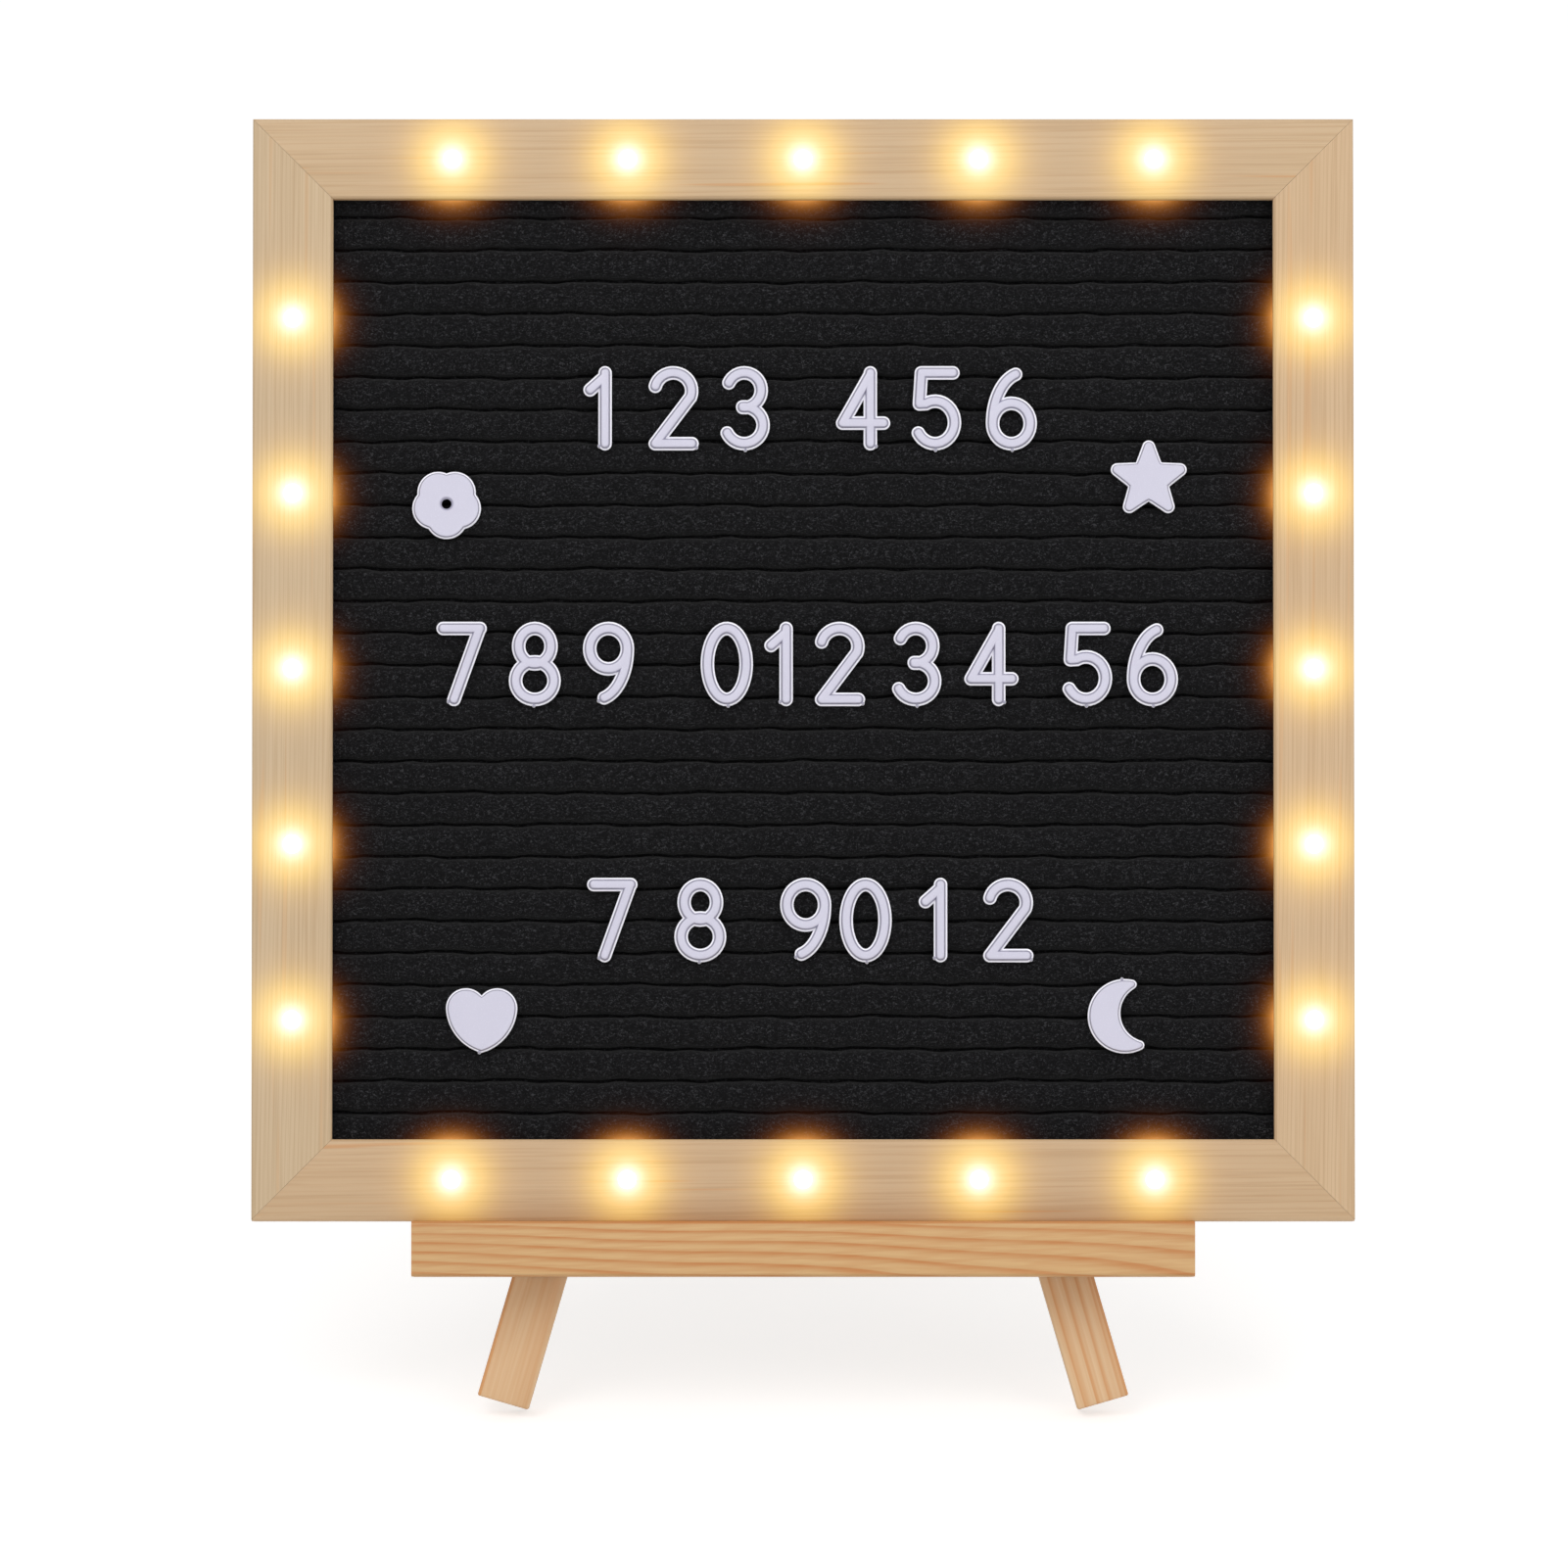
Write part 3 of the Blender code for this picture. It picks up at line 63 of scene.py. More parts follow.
# the board leans back, and everything on it is worked out on its own flat frame:
# u across, v up the board, w out from the front face of the frame
board = {
    "lean": math.radians(16.0), "railWidth": 18.5 * mm, "lampPitch": 40.5 * mm, "lampsPerRail": 5,
    "seat": 0.27 * mm,  # how far the bottom rail sinks to close its seam with the ledge
}
sinLean, cosLean = math.sin(board["lean"]), math.cos(board["lean"])
frameLow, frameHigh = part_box("bottom_rail")[0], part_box("top_rail")[1]
halfBoard = (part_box("right_rail")[1][0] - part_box("left_rail")[0][0]) / 2
boardMid = (0.0, frameLow[1] + halfBoard * sinLean, frameHigh[2] - halfBoard * cosLean)
halfOpening = halfBoard - board["railWidth"]
lampLine = halfBoard - board["railWidth"] / 2
leadLine = board["lampPitch"] * (board["lampsPerRail"] - 2) / 2  # the wire to the battery box
rootBody = frame["joints"][0]["parent"]


def onBoard(u, v, w):
    # a point of the board's own frame, turned by the lean and moved to the board's middle
    u, v, w = np.broadcast_arrays(np.asarray(u, float), np.asarray(v, float), np.asarray(w, float))
    return np.stack([boardMid[0] + u, boardMid[1] + v * sinLean - w * cosLean,
                     boardMid[2] + v * cosLean + w * sinLean], axis=-1)


def pieceMiddle(node):
    # the middle of a CAD node in the board's frame, in the order of boardSpace: u, back, v
    low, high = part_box(node)
    x, y, z = [(low[k] + high[k]) / 2 - boardMid[k] for k in range(3)]
    return x, y * cosLean - z * sinLean, y * sinLean + z * cosLean


def lampPlaces():
    # u and v of every lamp on the rails' middle lines: top, bottom, left, right
    count = board["lampsPerRail"]
    along = (np.arange(count) - (count - 1) / 2) * board["lampPitch"]
    middle = np.full_like(along, lampLine)
    return np.concatenate([np.stack([along, middle], 1), np.stack([along, -middle], 1),
                           np.stack([-middle, along], 1), np.stack([middle, along], 1)])


def gridQuads(rows, cols, loopRows=False, loopCols=False):
    # quads between neighbouring rows and columns of a grid, wrapping round where asked
    i = np.arange(rows if loopRows else rows - 1)[:, None]
    j = np.arange(cols if loopCols else cols - 1)[None, :]
    a = i * cols + j
    b = i * cols + (j + 1) % cols
    c = ((i + 1) % rows) * cols + (j + 1) % cols
    d = ((i + 1) % rows) * cols + j
    return np.stack([a, b, c, d], axis=-1).reshape(-1, 4)


def linked(name, mesh):
    mesh.shade_smooth()
    piece = bpy.data.objects.new(name, mesh)
    bpy.context.collection.objects.link(piece)
    return piece


def meshPiece(name, points, quads, caps=(), outward=True):
    # a new mesh object from an array of points, quads and any end caps
    mesh = bpy.data.meshes.new(name)
    faces = [tuple(map(int, face)) for face in (*quads, *caps)]
    mesh.from_pydata(np.asarray(points).reshape(-1, 3).tolist(), [], faces)
    if outward:
        bm = bmesh.new()
        bm.from_mesh(mesh)
        bmesh.ops.recalc_face_normals(bm, faces=bm.faces)
        bm.to_mesh(mesh)
        bm.free()
    mesh.validate()
    return linked(name, mesh)


def tubePiece(name, rings, closed=False):
    # rings of points one after another as a skin, with a cap at each end if it isn't closed
    rows, cols = rings.shape[:2]
    caps = [] if closed else [tuple(range(cols)), tuple(range((rows - 1) * cols, rows * cols))]
    return meshPiece(name, rings, gridQuads(rows, cols, closed, True), caps)


def turnedPiece(name, places, profile, count, base=0.0, tall=1.0):
    # equal shapes in one mesh, each turned about its own axis, which stands square on the board:
    # a pair of the profile is a ring's radius and its height over the base, and a tall shape has
    # its rings stretched up the board
    angle = np.linspace(0.0, 2 * math.pi, count + 1)[:-1]
    radius, high = (np.array(profile) * mm).T[:, :, None]
    size = len(profile) * count
    points, faces, caps = [], [], []
    for k, (u, v) in enumerate(places):
        rings = onBoard(u + radius * np.cos(angle), v + radius * tall * np.sin(angle), base + high)
        points.append(rings.reshape(-1, 3))
        faces.append(gridQuads(len(profile), count, False, True) + k * size)
        first, last = k * size, (k + 1) * size - count
        caps += [tuple(range(first, first + count)), tuple(range(last, last + count))]
    return meshPiece(name, np.vstack(points), np.vstack(faces), caps)


def boxPiece(name, u, v, w):
    # a small block between two corners given as pairs, in the board's frame
    pu, pv, pw = np.meshgrid(u, v, w, indexing="ij")
    faces = [(0, 1, 3, 2), (4, 6, 7, 5), (0, 4, 5, 1), (2, 3, 7, 6), (0, 2, 6, 4), (1, 5, 7, 3)]
    return meshPiece(name, onBoard(pu, pv, pw), faces)


def settle(piece, body, material, nodes=(), sharp=None):
    # finish, body and the CAD nodes that the piece stands for
    piece.data.materials.clear()
    piece.data.materials.append(material)
    if sharp is not None:
        piece.data.set_sharp_from_angle(angle=math.radians(sharp))
    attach(piece, body)
    if nodes:
        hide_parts(*nodes)


def baked(piece):
    # the piece's mesh with its modifiers worked in
    bpy.context.view_layer.update()
    done = piece.evaluated_get(bpy.context.evaluated_depsgraph_get())
    mesh = bpy.data.meshes.new_from_object(done)
    piece.modifiers.clear()
    piece.data = mesh


def combined(piece, tool, operation):
    # the piece joined with the tool or cut by it, and the tool gone
    change = piece.modifiers.new("shape", "BOOLEAN")
    change.operation = operation
    change.object = tool
    baked(piece)
    bpy.data.objects.remove(tool, do_unlink=True)
    return piece


copied = {"merge": 2e-6, "flat": 1.0, "bevelFrom": 40.0, "sharpFrom": 35.0}


def softened(node, name, width, segments=2, wholeFaces=True):
    # a merged copy of a CAD node with its sharp edges rounded by a small bevel; a face with
    # openings in it stays in triangles
    bm = bmesh.new()
    bm.from_mesh(frame["nodes"][node].data)
    bmesh.ops.remove_doubles(bm, verts=bm.verts, dist=copied["merge"])
    if wholeFaces:
        bmesh.ops.dissolve_limit(bm, angle_limit=math.radians(copied["flat"]),
                                 verts=bm.verts, edges=bm.edges)
    mesh = bpy.data.meshes.new(name)
    bm.to_mesh(mesh)
    bm.free()
    piece = linked(name, mesh)
    bevel = piece.modifiers.new("edge", "BEVEL")
    bevel.width = width
    bevel.segments = segments
    bevel.limit_method = "ANGLE"
    bevel.angle_limit = math.radians(copied["bevelFrom"])
    bevel.use_clamp_overlap = True
    baked(piece)
    piece.data.set_sharp_from_angle(angle=math.radians(copied["sharpFrom"]))
    return piece


class Sheet:
    # the nodes of a material, or of the world, with short helpers, so that each finish reads
    # from top to bottom
    def __init__(self, name, owner=None, shader="Principled BSDF"):
        self.owner = owner or bpy.data.materials.new(name)
        self.owner.use_nodes = True
        self.tree = self.owner.node_tree
        self.shader = self.tree.nodes[shader]

    def feed(self, node, values):
        # each input gets its value, or a link where the value is another node's output
        for key, value in values.items():
            if isinstance(value, bpy.types.NodeSocket):
                self.tree.links.new(value, node.inputs[key])
            else:
                node.inputs[key].default_value = value

    def node(self, kind, values=(), **settings):
        made = self.tree.nodes.new(kind)
        for key, value in settings.items():
            setattr(made, key, value)
        self.feed(made, dict(values))
        return made

    def boardSpace(self):
        # object coordinates turned upright, with the board's middle at zero: x across, z up
        place = self.node("ShaderNodeTexCoord")
        upright = Matrix.Rotation(board["lean"], 3, "X") @ Vector(boardMid)
        return self.mapped(place.outputs["Object"], rotation=(board["lean"], 0.0, 0.0),
                           location=-upright)

    def mapped(self, vector, scale=(1.0, 1.0, 1.0), rotation=(0.0, 0.0, 0.0),
               location=(0.0, 0.0, 0.0)):
        made = self.node("ShaderNodeMapping", {"Vector": vector, "Scale": scale,
                                               "Rotation": rotation, "Location": location})
        return made.outputs["Vector"]

    def noise(self, vector, scale, detail=3.0, roughness=0.55, distortion=0.0):
        made = self.node("ShaderNodeTexNoise", {"Vector": vector, "Scale": scale, "Detail": detail,
                                                "Roughness": roughness, "Distortion": distortion})
        return made.outputs["Fac"]

    def stretched(self, vector, scales, detail=3.0, roughness=0.55):
        # noise drawn out along an axis, by its scale on each of the three
        return self.noise(self.mapped(vector, scales), 1.0, detail, roughness)

    def sums(self, operation, a, b=0.0):
        return self.node("ShaderNodeMath", {0: a, 1: b}, operation=operation).outputs[0]

    def plus(self, a, b):
        return self.sums("ADD", a, b)

    def less(self, a, b):
        return self.sums("SUBTRACT", a, b)

    def times(self, a, b):
        return self.sums("MULTIPLY", a, b)

    def over(self, a, b):
        return self.sums("DIVIDE", a, b)

    def larger(self, a, b):
        return self.sums("MAXIMUM", a, b)

    def smaller(self, a, b):
        return self.sums("MINIMUM", a, b)

    def distance(self, a, b):
        # how far a step goes that is a one way and b square to it
        return self.sums("SQRT", self.plus(self.times(a, a), self.times(b, b)))

    def vectors(self, operation, a, b):
        made = self.node("ShaderNodeVectorMath", {0: a, 1: b}, operation=operation)
        return made.outputs["Value" if operation == "DOT_PRODUCT" else "Vector"]

    def ramp(self, value, *stops):
        # each stop is a place and a colour
        made = self.node("ShaderNodeValToRGB", {"Fac": value})
        elements = made.color_ramp.elements
        while len(elements) < len(stops):
            elements.new(0.5)
        for element, (place, colour) in zip(elements, stops):
            element.position = place
            element.color = (*colour, 1.0)
        return made.outputs["Color"]

    def mask(self, value, *stops):
        # a ramp of greys: each stop is a place and a brightness
        return self.ramp(value, *((place, (grey, grey, grey)) for place, grey in stops))

    def mixed(self, share, a, b, blend="MIX"):
        a, b = [c if isinstance(c, bpy.types.NodeSocket) else (*c, 1.0) for c in (a, b)]
        made = self.node("ShaderNodeMix", data_type="RGBA", blend_type=blend)
        self.feed(made, {"Factor": share, 6: a, 7: b})
        return made.outputs[2]

    def split(self, vector):
        return self.node("ShaderNodeSeparateXYZ", {0: vector}).outputs

    def bump(self, height, strength, depth):
        made = self.node("ShaderNodeBump", {"Height": height, "Strength": strength,
                                            "Distance": depth})
        self.feed(self.shader, {"Normal": made.outputs["Normal"]})

    def shine(self, colour, strength):
        self.feed(self.shader, {"Emission Color": colour, "Emission Strength": strength})

    def done(self, colour, roughness, metallic=0.0):
        self.feed(self.shader, {"Base Color": colour, "Roughness": roughness, "Metallic": metallic})
        return self.owner


def lampDistance(paint, space, rail):
    # distance from the nearest lamp of a rail, along the face of the board
    parts = paint.split(space)
    run, other = (parts[0], parts[2]) if rail in ("top", "bottom") else (parts[2], parts[0])
    half = (board["lampsPerRail"] - 1) / 2
    step = paint.sums("ROUND", paint.over(run, board["lampPitch"]))
    step = paint.smaller(paint.larger(step, -half), half)
    gap = paint.less(run, paint.times(step, board["lampPitch"]))
    away = paint.less(other, lampLine if rail in ("top", "right") else -lampLine)
    return paint.distance(gap, away)


def glowColour(paint, distance, strengths, falls):
    # red, green and blue each fall off on their own, so that a painted glow turns from white to orange
    parts = {k: paint.times(falls(distance, k), strengths[k]) for k in range(3)}
    return paint.node("ShaderNodeCombineColor", parts).outputs[0]


def growthRings(paint, space, node, grain):
    # the piece's own space, turned so that x runs along its grain, and which part of a yearly
    # ring a point lies in, 0 to 1: its distance from the heart line, wandering a little, divided
    # by the ring spacing
    heart = Vector(pieceMiddle(node)) + Vector(grain["heart"])
    along = Vector(grain["along"]).normalized()
    side = along.orthogonal().normalized()
    offset = paint.vectors("SUBTRACT", space, heart)
    axes = (along, side, along.cross(side))
    parts = [paint.vectors("DOT_PRODUCT", offset, axis) for axis in axes]
    turned = paint.node("ShaderNodeCombineXYZ", dict(enumerate(parts))).outputs[0]
    reach = paint.distance(parts[1], parts[2])
    loose = paint.stretched(turned, (10.0, 30.0, 30.0), 1.0)
    loose = paint.times(paint.less(loose, 0.5), grain["wander"])
    ring = paint.sums("FRACT", paint.over(paint.plus(reach, loose), grain["spacing"]))
    return turned, ring


frameWood = {
    "pale": (0.545, 0.380, 0.228), "base": (0.51, 0.343, 0.195), "dark": (0.42, 0.262, 0.133),
    "ring": (0.475, 0.268, 0.125), "streak": (0.53, 0.25, 0.085), "baseShare": 0.6, "lineShare": 0.42,
    "fine": (9.0, 1500.0, 1500.0), "bands": (5.0, 240.0, 240.0), "streaks": (11.0, 620.0, 620.0),
    "wander": 3.0 * mm, "roughness": 0.52,
    # the lamps' painted glow on the wood: its strength in red, green and blue, how far each reaches, a
    # whiter core, and how deep it goes behind the face
    "glow": (0.78, 0.54, 0.46), "reach": (8.9 * mm, 8.4 * mm, 4.1 * mm),
    "core": 1.3, "coreReach": 2.7 * mm, "glowDepth": 4.0 * mm,
    "level": {"along": (1.0, 0.012, 0.008), "spacing": 1.5 * mm,
              "late": "ring", "lateShare": 0.20, "streakShare": 0.55},
    "upright": {"along": (0.008, 0.012, 1.0), "spacing": 0.95 * mm,
                "late": "dark", "lateShare": 0.60, "streakShare": 0.25},
    "tint": {"top": (1.0, 1.03, 1.05), "bottom": (1.0, 1.0, 1.0), "left": (1.0, 1.08, 1.15),
             "right": (1.06, 1.08, 1.10)},
    "heart": {"top": (0.0, -13.0 * mm, -22.0 * mm), "bottom": (0.0, -15.0 * mm, -32.0 * mm),
              "left": (-60.0 * mm, -22.0 * mm, 0.0), "right": (-60.0 * mm, -12.0 * mm, 0.0)},
}


def railFinish(rail):
    # lime wood: fine straight lines along the rail, and on its face the lamps' warm glow, painted on as
    # emission round each lamp
    paint = Sheet("frameWood_" + rail)
    space = paint.boardSpace()
    run = frameWood["level" if rail in ("top", "bottom") else "upright"]
    dark, base, pale = frameWood["dark"], frameWood["base"], frameWood["pale"]
    grain = {**run, "heart": frameWood["heart"][rail], "wander": frameWood["wander"]}
    turned, ring = growthRings(paint, space, rail + "_rail", grain)
    fine = paint.stretched(turned, frameWood["fine"], 3.0, 0.6)
    bands = paint.stretched(turned, frameWood["bands"], 3.0, 0.5)
    streaks = paint.stretched(turned, frameWood["streaks"], 1.0, 0.4)
    tone = paint.ramp(bands, (0.30, dark), (0.5, base), (0.70, pale))
    tone = paint.mixed(frameWood["baseShare"], tone, base)
    fineTone = paint.ramp(fine, (0.36, dark), (0.52, pale))
    tone = paint.mixed(frameWood["lineShare"], tone, fineTone)
    late = paint.mask(ring, (0.62, 0.0), (0.84, 1.0), (0.96, 0.0))
    tone = paint.mixed(paint.times(late, run["lateShare"]), tone, frameWood[run["late"]])
    rare = paint.mask(streaks, (0.655, 0.0), (0.70, 1.0))
    tone = paint.mixed(paint.times(rare, run["streakShare"]), tone, frameWood["streak"])
    tone = paint.mixed(1.0, tone, frameWood["tint"][rail], "MULTIPLY")
    # painted light: the lamps' glow on the wood is an emission, whitest at each lamp and turning orange
    # as it fades
    distance = lampDistance(paint, space, rail)

    def bell(d, reach):
        near = paint.over(d, reach)
        return paint.sums("EXPONENT", paint.times(paint.times(near, near), -1.0))

    core = paint.times(bell(distance, frameWood["coreReach"]), frameWood["core"])

    def falling(d, k):
        return paint.plus(bell(d, frameWood["reach"][k]), core)

    # the painted glow fades out behind the face, so that the rail's sides and back stay plain
    front = paint.less(1.0, paint.over(paint.split(space)[1], frameWood["glowDepth"]))
    paint.shine(glowColour(paint, distance, frameWood["glow"], falling),
                paint.smaller(paint.larger(front, 0.0), 1.0))
    paint.bump(paint.plus(fine, paint.times(bands, 0.5)), 0.2, 0.2 * mm)
    return paint.done(tone, frameWood["roughness"])


easelWood = {
    "ledge": {"early": (0.545, 0.318, 0.132), "late": (0.46, 0.16, 0.033),
              "sheen": (0.60, 0.378, 0.172)},
    "leg": {"early": (0.70, 0.465, 0.262), "late": (0.60, 0.24, 0.055), "sheen": (0.74, 0.52, 0.31)},
    "broad": (9.0, 60.0, 60.0), "fibres": (16.0, 1300.0, 1300.0), "fibreShare": 0.20,
    # the painted shade along the legs' outer edges and the ledge's top is mixed in at the share below
    "stripShare": 0.65, "roughness": 0.5,
}


def easelFinish(node, grain):
    # pine: pale early wood that darkens to a sharp late line in each ring
    paint = Sheet("easelWood_" + grain["name"])
    space = paint.boardSpace()
    early, late, sheen = [easelWood[grain["look"]][key] for key in ("early", "late", "sheen")]
    turned, ring = growthRings(paint, space, node, grain)
    rings = paint.ramp(ring, (0.0, early), (0.30, sheen), (0.58, early), (0.86, late),
                       (0.95, late), (1.0, early))
    broad = paint.stretched(turned, easelWood["broad"], 2.0)
    tone = paint.mixed(grain["contrast"], early, rings)
    tone = paint.mixed(paint.times(broad, 0.5), tone, early)
    fibres = paint.stretched(turned, easelWood["fibres"], 2.0, 0.6)
    fibreTone = paint.ramp(fibres, (0.38, late), (0.60, sheen))
    tone = paint.mixed(easelWood["fibreShare"], tone, fibreTone)
    if "strip" in grain:
        # painted shade past a line: along a leg's outer edge, standing for its side turned from the
        # light, and along the top of the ledge, where the board sits on it
        across = paint.vectors("DOT_PRODUCT", space, grain["outward"])
        past = paint.sums("GREATER_THAN", across, grain["strip"])
        tone = paint.mixed(paint.times(past, easelWood["stripShare"]), tone, late)
    paint.bump(paint.plus(ring, fibres), 0.12, 0.2 * mm)
    return paint.done(tone, easelWood["roughness"])


feltLook = {
    "deep": (0.0008, 0.0008, 0.0010), "nap": (0.0030, 0.0030, 0.0035),
    "fibre": (0.044, 0.044, 0.048), "tuftLean": ((1.0, 1.0, 1.5), (0.0, 0.35, 0.0)),
    "fibreLean": ((1.0, 1.0, 1.7), (0.0, -0.5, 0.0)), "tuftShare": 0.6, "fibreShare": 0.4,
    # the lamps' painted glow on the felt, and how fast its red, green and blue fall off
    "glow": (0.74, 0.30, 0.07), "fall": (1.6 * mm, 1.35 * mm, 1.0 * mm),
    "surface": {"Sheen Weight": 0.04, "Sheen Roughness": 0.6, "Specular IOR Level": 0.1},
    "roughness": 0.95,
}


def feltFinish():
    # dark nap with paler loose fibres, and the lamps' glow painted on as emission, which dies away from
    # the rails inwards
    paint = Sheet("blackFelt")
    space = paint.boardSpace()
    nap = paint.noise(space, 700.0, 4.0, 0.7)
    tufts = paint.noise(paint.mapped(space, *feltLook["tuftLean"]), 1500.0, 2.0, 0.7, 1.0)
    fibres = paint.noise(paint.mapped(space, *feltLook["fibreLean"]), 2600.0, 2.0, 0.75, 1.6)
    broad = paint.noise(space, 60.0, 3.0)
    tone = paint.ramp(nap, (0.32, feltLook["deep"]), (0.64, feltLook["nap"]))
    both = paint.plus(paint.times(tufts, feltLook["tuftShare"]),
                      paint.times(fibres, feltLook["fibreShare"]))
    tone = paint.mixed(paint.mask(both, (0.52, 0.0), (0.64, 1.0)), tone, feltLook["fibre"])
    tone = paint.mixed(paint.times(broad, 0.25), tone, feltLook["nap"])
    # painted light: the lamps' glow on the felt is an emission that dies away with distance from the
    # nearest lamp
    distance = lampDistance(paint, space, "top")
    for rail in ("bottom", "left", "right"):
        distance = paint.smaller(distance, lampDistance(paint, space, rail))
    past = paint.larger(paint.less(distance, board["railWidth"] / 2), 0.0)

    def dying(d, k):
        return paint.sums("EXPONENT", paint.over(d, -feltLook["fall"][k]))

    paint.shine(glowColour(paint, past, feltLook["glow"], dying), 1.0)
    paint.feed(paint.shader, feltLook["surface"])
    paint.bump(paint.plus(nap, both), 0.6, 0.3 * mm)
    return paint.done(tone, feltLook["roughness"])


def characterFinish():
    # pale plastic: its face in the plastic's own colour, its sloping sides darker with painted shade,
    # and a thin bright edge at its foot that is a painted highlight
    paint = Sheet("characterPlastic")
    space = paint.boardSpace()
    face, shadedSlope, rimHighlight = [character[key] for key in ("face", "shadedSlope", "rimHighlight")]
    fine = paint.noise(space, 3000.0, 2.0)
    depth = paint.split(space)[1]
    high = paint.over(paint.less(-character["back"], depth), character["height"])
    # by height over the felt: a painted highlight low at the foot, painted shade on the sloping sides,
    # the plastic's own colour on the face
    tone = paint.ramp(high, (0.40, rimHighlight), (0.51, rimHighlight), (0.57, shadedSlope), (0.84, shadedSlope), (0.96, face))
    tone = paint.mixed(paint.times(paint.noise(space, 150.0, 2.0), 0.12), tone, shadedSlope)
    paint.bump(fine, 0.05, 0.1 * mm)
    return paint.done(tone, paint.plus(paint.times(fine, 0.12), 0.20))


# colour and roughness of the plain finishes, and for plastic also the grain of its surface
plain = {
    "blackPlastic": ((0.022, 0.022, 0.024), 0.5, 5000.0, 0.25),
    "cellWrap": ((0.09, 0.11, 0.14), 0.3, 3000.0, 0.05),
    "brass": ((0.70, 0.50, 0.21), 0.34),
    "zincSteel": ((0.60, 0.60, 0.62), 0.36),
}


def plasticFinish(name):
    colour, roughness, grain, strength = plain[name]
    paint = Sheet(name)
    space = paint.boardSpace()
    fine = paint.noise(space, grain, 2.0)
    broad = paint.noise(space, 120.0, 2.0)
    tone = paint.mixed(broad, colour, tuple(c * 0.93 for c in colour))
    paint.bump(fine, strength, 0.1 * mm)
    return paint.done(tone, paint.plus(paint.times(fine, 0.12), roughness - 0.06))


def metalFinish(name):
    colour, roughness = plain[name]
    paint = Sheet(name)
    space = paint.boardSpace()
    brushed = paint.stretched(space, (400.0, 4000.0, 4000.0), 2.0)
    stain = paint.noise(space, 300.0, 3.0)
    tone = paint.mixed(paint.times(stain, 0.35), colour, tuple(c * 0.72 for c in colour))
    paint.bump(brushed, 0.08, 0.1 * mm)
    return paint.done(tone, paint.plus(paint.times(brushed, 0.2), roughness - 0.1), 1.0)


fibreboard = {"dark": (0.17, 0.105, 0.055), "pale": (0.30, 0.20, 0.115),
              "middle": (0.235, 0.15, 0.085), "roughness": 0.78}


def boardFinish():
    # brown fibreboard with pressed fibres
    paint = Sheet("fibreboard")
    space = paint.boardSpace()
    fibres = paint.noise(paint.mapped(space, (300.0, 300.0, 900.0)), 1.0, 4.0, 0.7, 1.0)
    broad = paint.noise(space, 30.0, 3.0)
    tone = paint.ramp(fibres, (0.32, fibreboard["dark"]), (0.66, fibreboard["pale"]))
    tone = paint.mixed(paint.times(broad, 0.4), tone, fibreboard["middle"])
    paint.bump(fibres, 0.3, 0.2 * mm)
    return paint.done(tone, fibreboard["roughness"])


resin = {"deep": (1.0, 0.80, 0.50), "pale": (1.0, 0.93, 0.72), "shine": (1.0, 0.93, 0.74, 1.0),
         "strength": 1.9, "roughness": 0.25}


def lampFinish():
    # the lit dome: its own colour is the plain resin's, and it shines the same all over
    paint = Sheet("lampGlow")
    mottle = paint.noise(paint.boardSpace(), 1500.0, 1.0)
    paint.shine(resin["shine"], resin["strength"])
    tone = paint.ramp(mottle, (0.4, resin["deep"]), (0.6, resin["pale"]))
    return paint.done(tone, resin["roughness"])


# the camera stands where the photograph was taken from: scale is pixels to the millimetre, and
# boardX and boardY are the pixel of the board's middle in a picture of frame by frame pixels
shot = {"elevation": math.radians(13.6), "distance": 3.0, "scale": 4.43, "frame": 1601,
        "boardX": 820.0, "boardY": 682.5, "sensor": 36.0, "farthest": 30.0}


def makeCamera():
    data = bpy.data.cameras.new("camera")
    data.sensor_width = shot["sensor"]
    data.lens = shot["scale"] / mm * shot["distance"] * data.sensor_width / shot["frame"]
    data.clip_end = shot["farthest"]
    camera = bpy.data.objects.new("camera", data)
    bpy.context.collection.objects.link(camera)
    rise = shot["elevation"]
    out = np.array([0.0, -math.cos(rise), math.sin(rise)])
    up = np.array([0.0, math.sin(rise), math.cos(rise)])
    middle = shot["frame"] / 2
    shiftX = (middle - shot["boardX"]) / shot["scale"] * mm
    shiftY = (shot["boardY"] - middle) / shot["scale"] * mm
    aim = np.array(boardMid) + np.array([shiftX, 0.0, 0.0]) + up * shiftY
    camera.location = aim + out * shot["distance"]
    camera.rotation_euler = (math.pi / 2 - rise, 0.0, 0.0)
    bpy.context.scene.camera = camera


studio = {
    "world": 0.62,
    "lamps": {
        "keyLight": {"place": (-0.9, -1.7, 1.6), "power": 16.0, "size": 1.3},
        "fillLight": {"place": (1.3, -1.5, 0.9), "power": 9.0, "size": 1.5},
        "rimLight": {"place": (0.35, -0.5, 1.5), "power": 3.0, "size": 0.35},
    },
    "floor": {"half": 4.0, "lit": (0.8, 0.8, 0.8), "seen": (0.62, 0.612, 0.605), "shine": 0.60,
              "roughness": 0.9},
}
white = (1.0, 1.0, 1.0, 1.0)


def areaLight(name, place, power, size):
    data = bpy.data.lights.new(name, "AREA")
    data.energy = power
    data.shape = "SQUARE"
    data.size = size
    lamp = bpy.data.objects.new(name, data)
    bpy.context.collection.objects.link(lamp)
    lamp.location = place
    lamp.rotation_euler = (Vector(boardMid) - Vector(place)).to_track_quat("-Z", "Y").to_euler()


def makeWorld():
    # an even light on the object, and plain white for the camera, mirrors and glass
    sky = Sheet("studio", bpy.data.worlds.new("studio"), "Background")
    bpy.context.scene.world = sky.owner
    rays = sky.node("ShaderNodeLightPath").outputs
    seen = sky.larger(rays["Is Camera Ray"], rays["Is Glossy Ray"])
    seen = sky.larger(seen, rays["Is Transmission Ray"])
    strength = sky.node("ShaderNodeMapRange", {"Value": seen, "To Min": studio["world"], "To Max": 1.0})
    sky.feed(sky.shader, {"Color": white, "Strength": strength.outputs[0]})


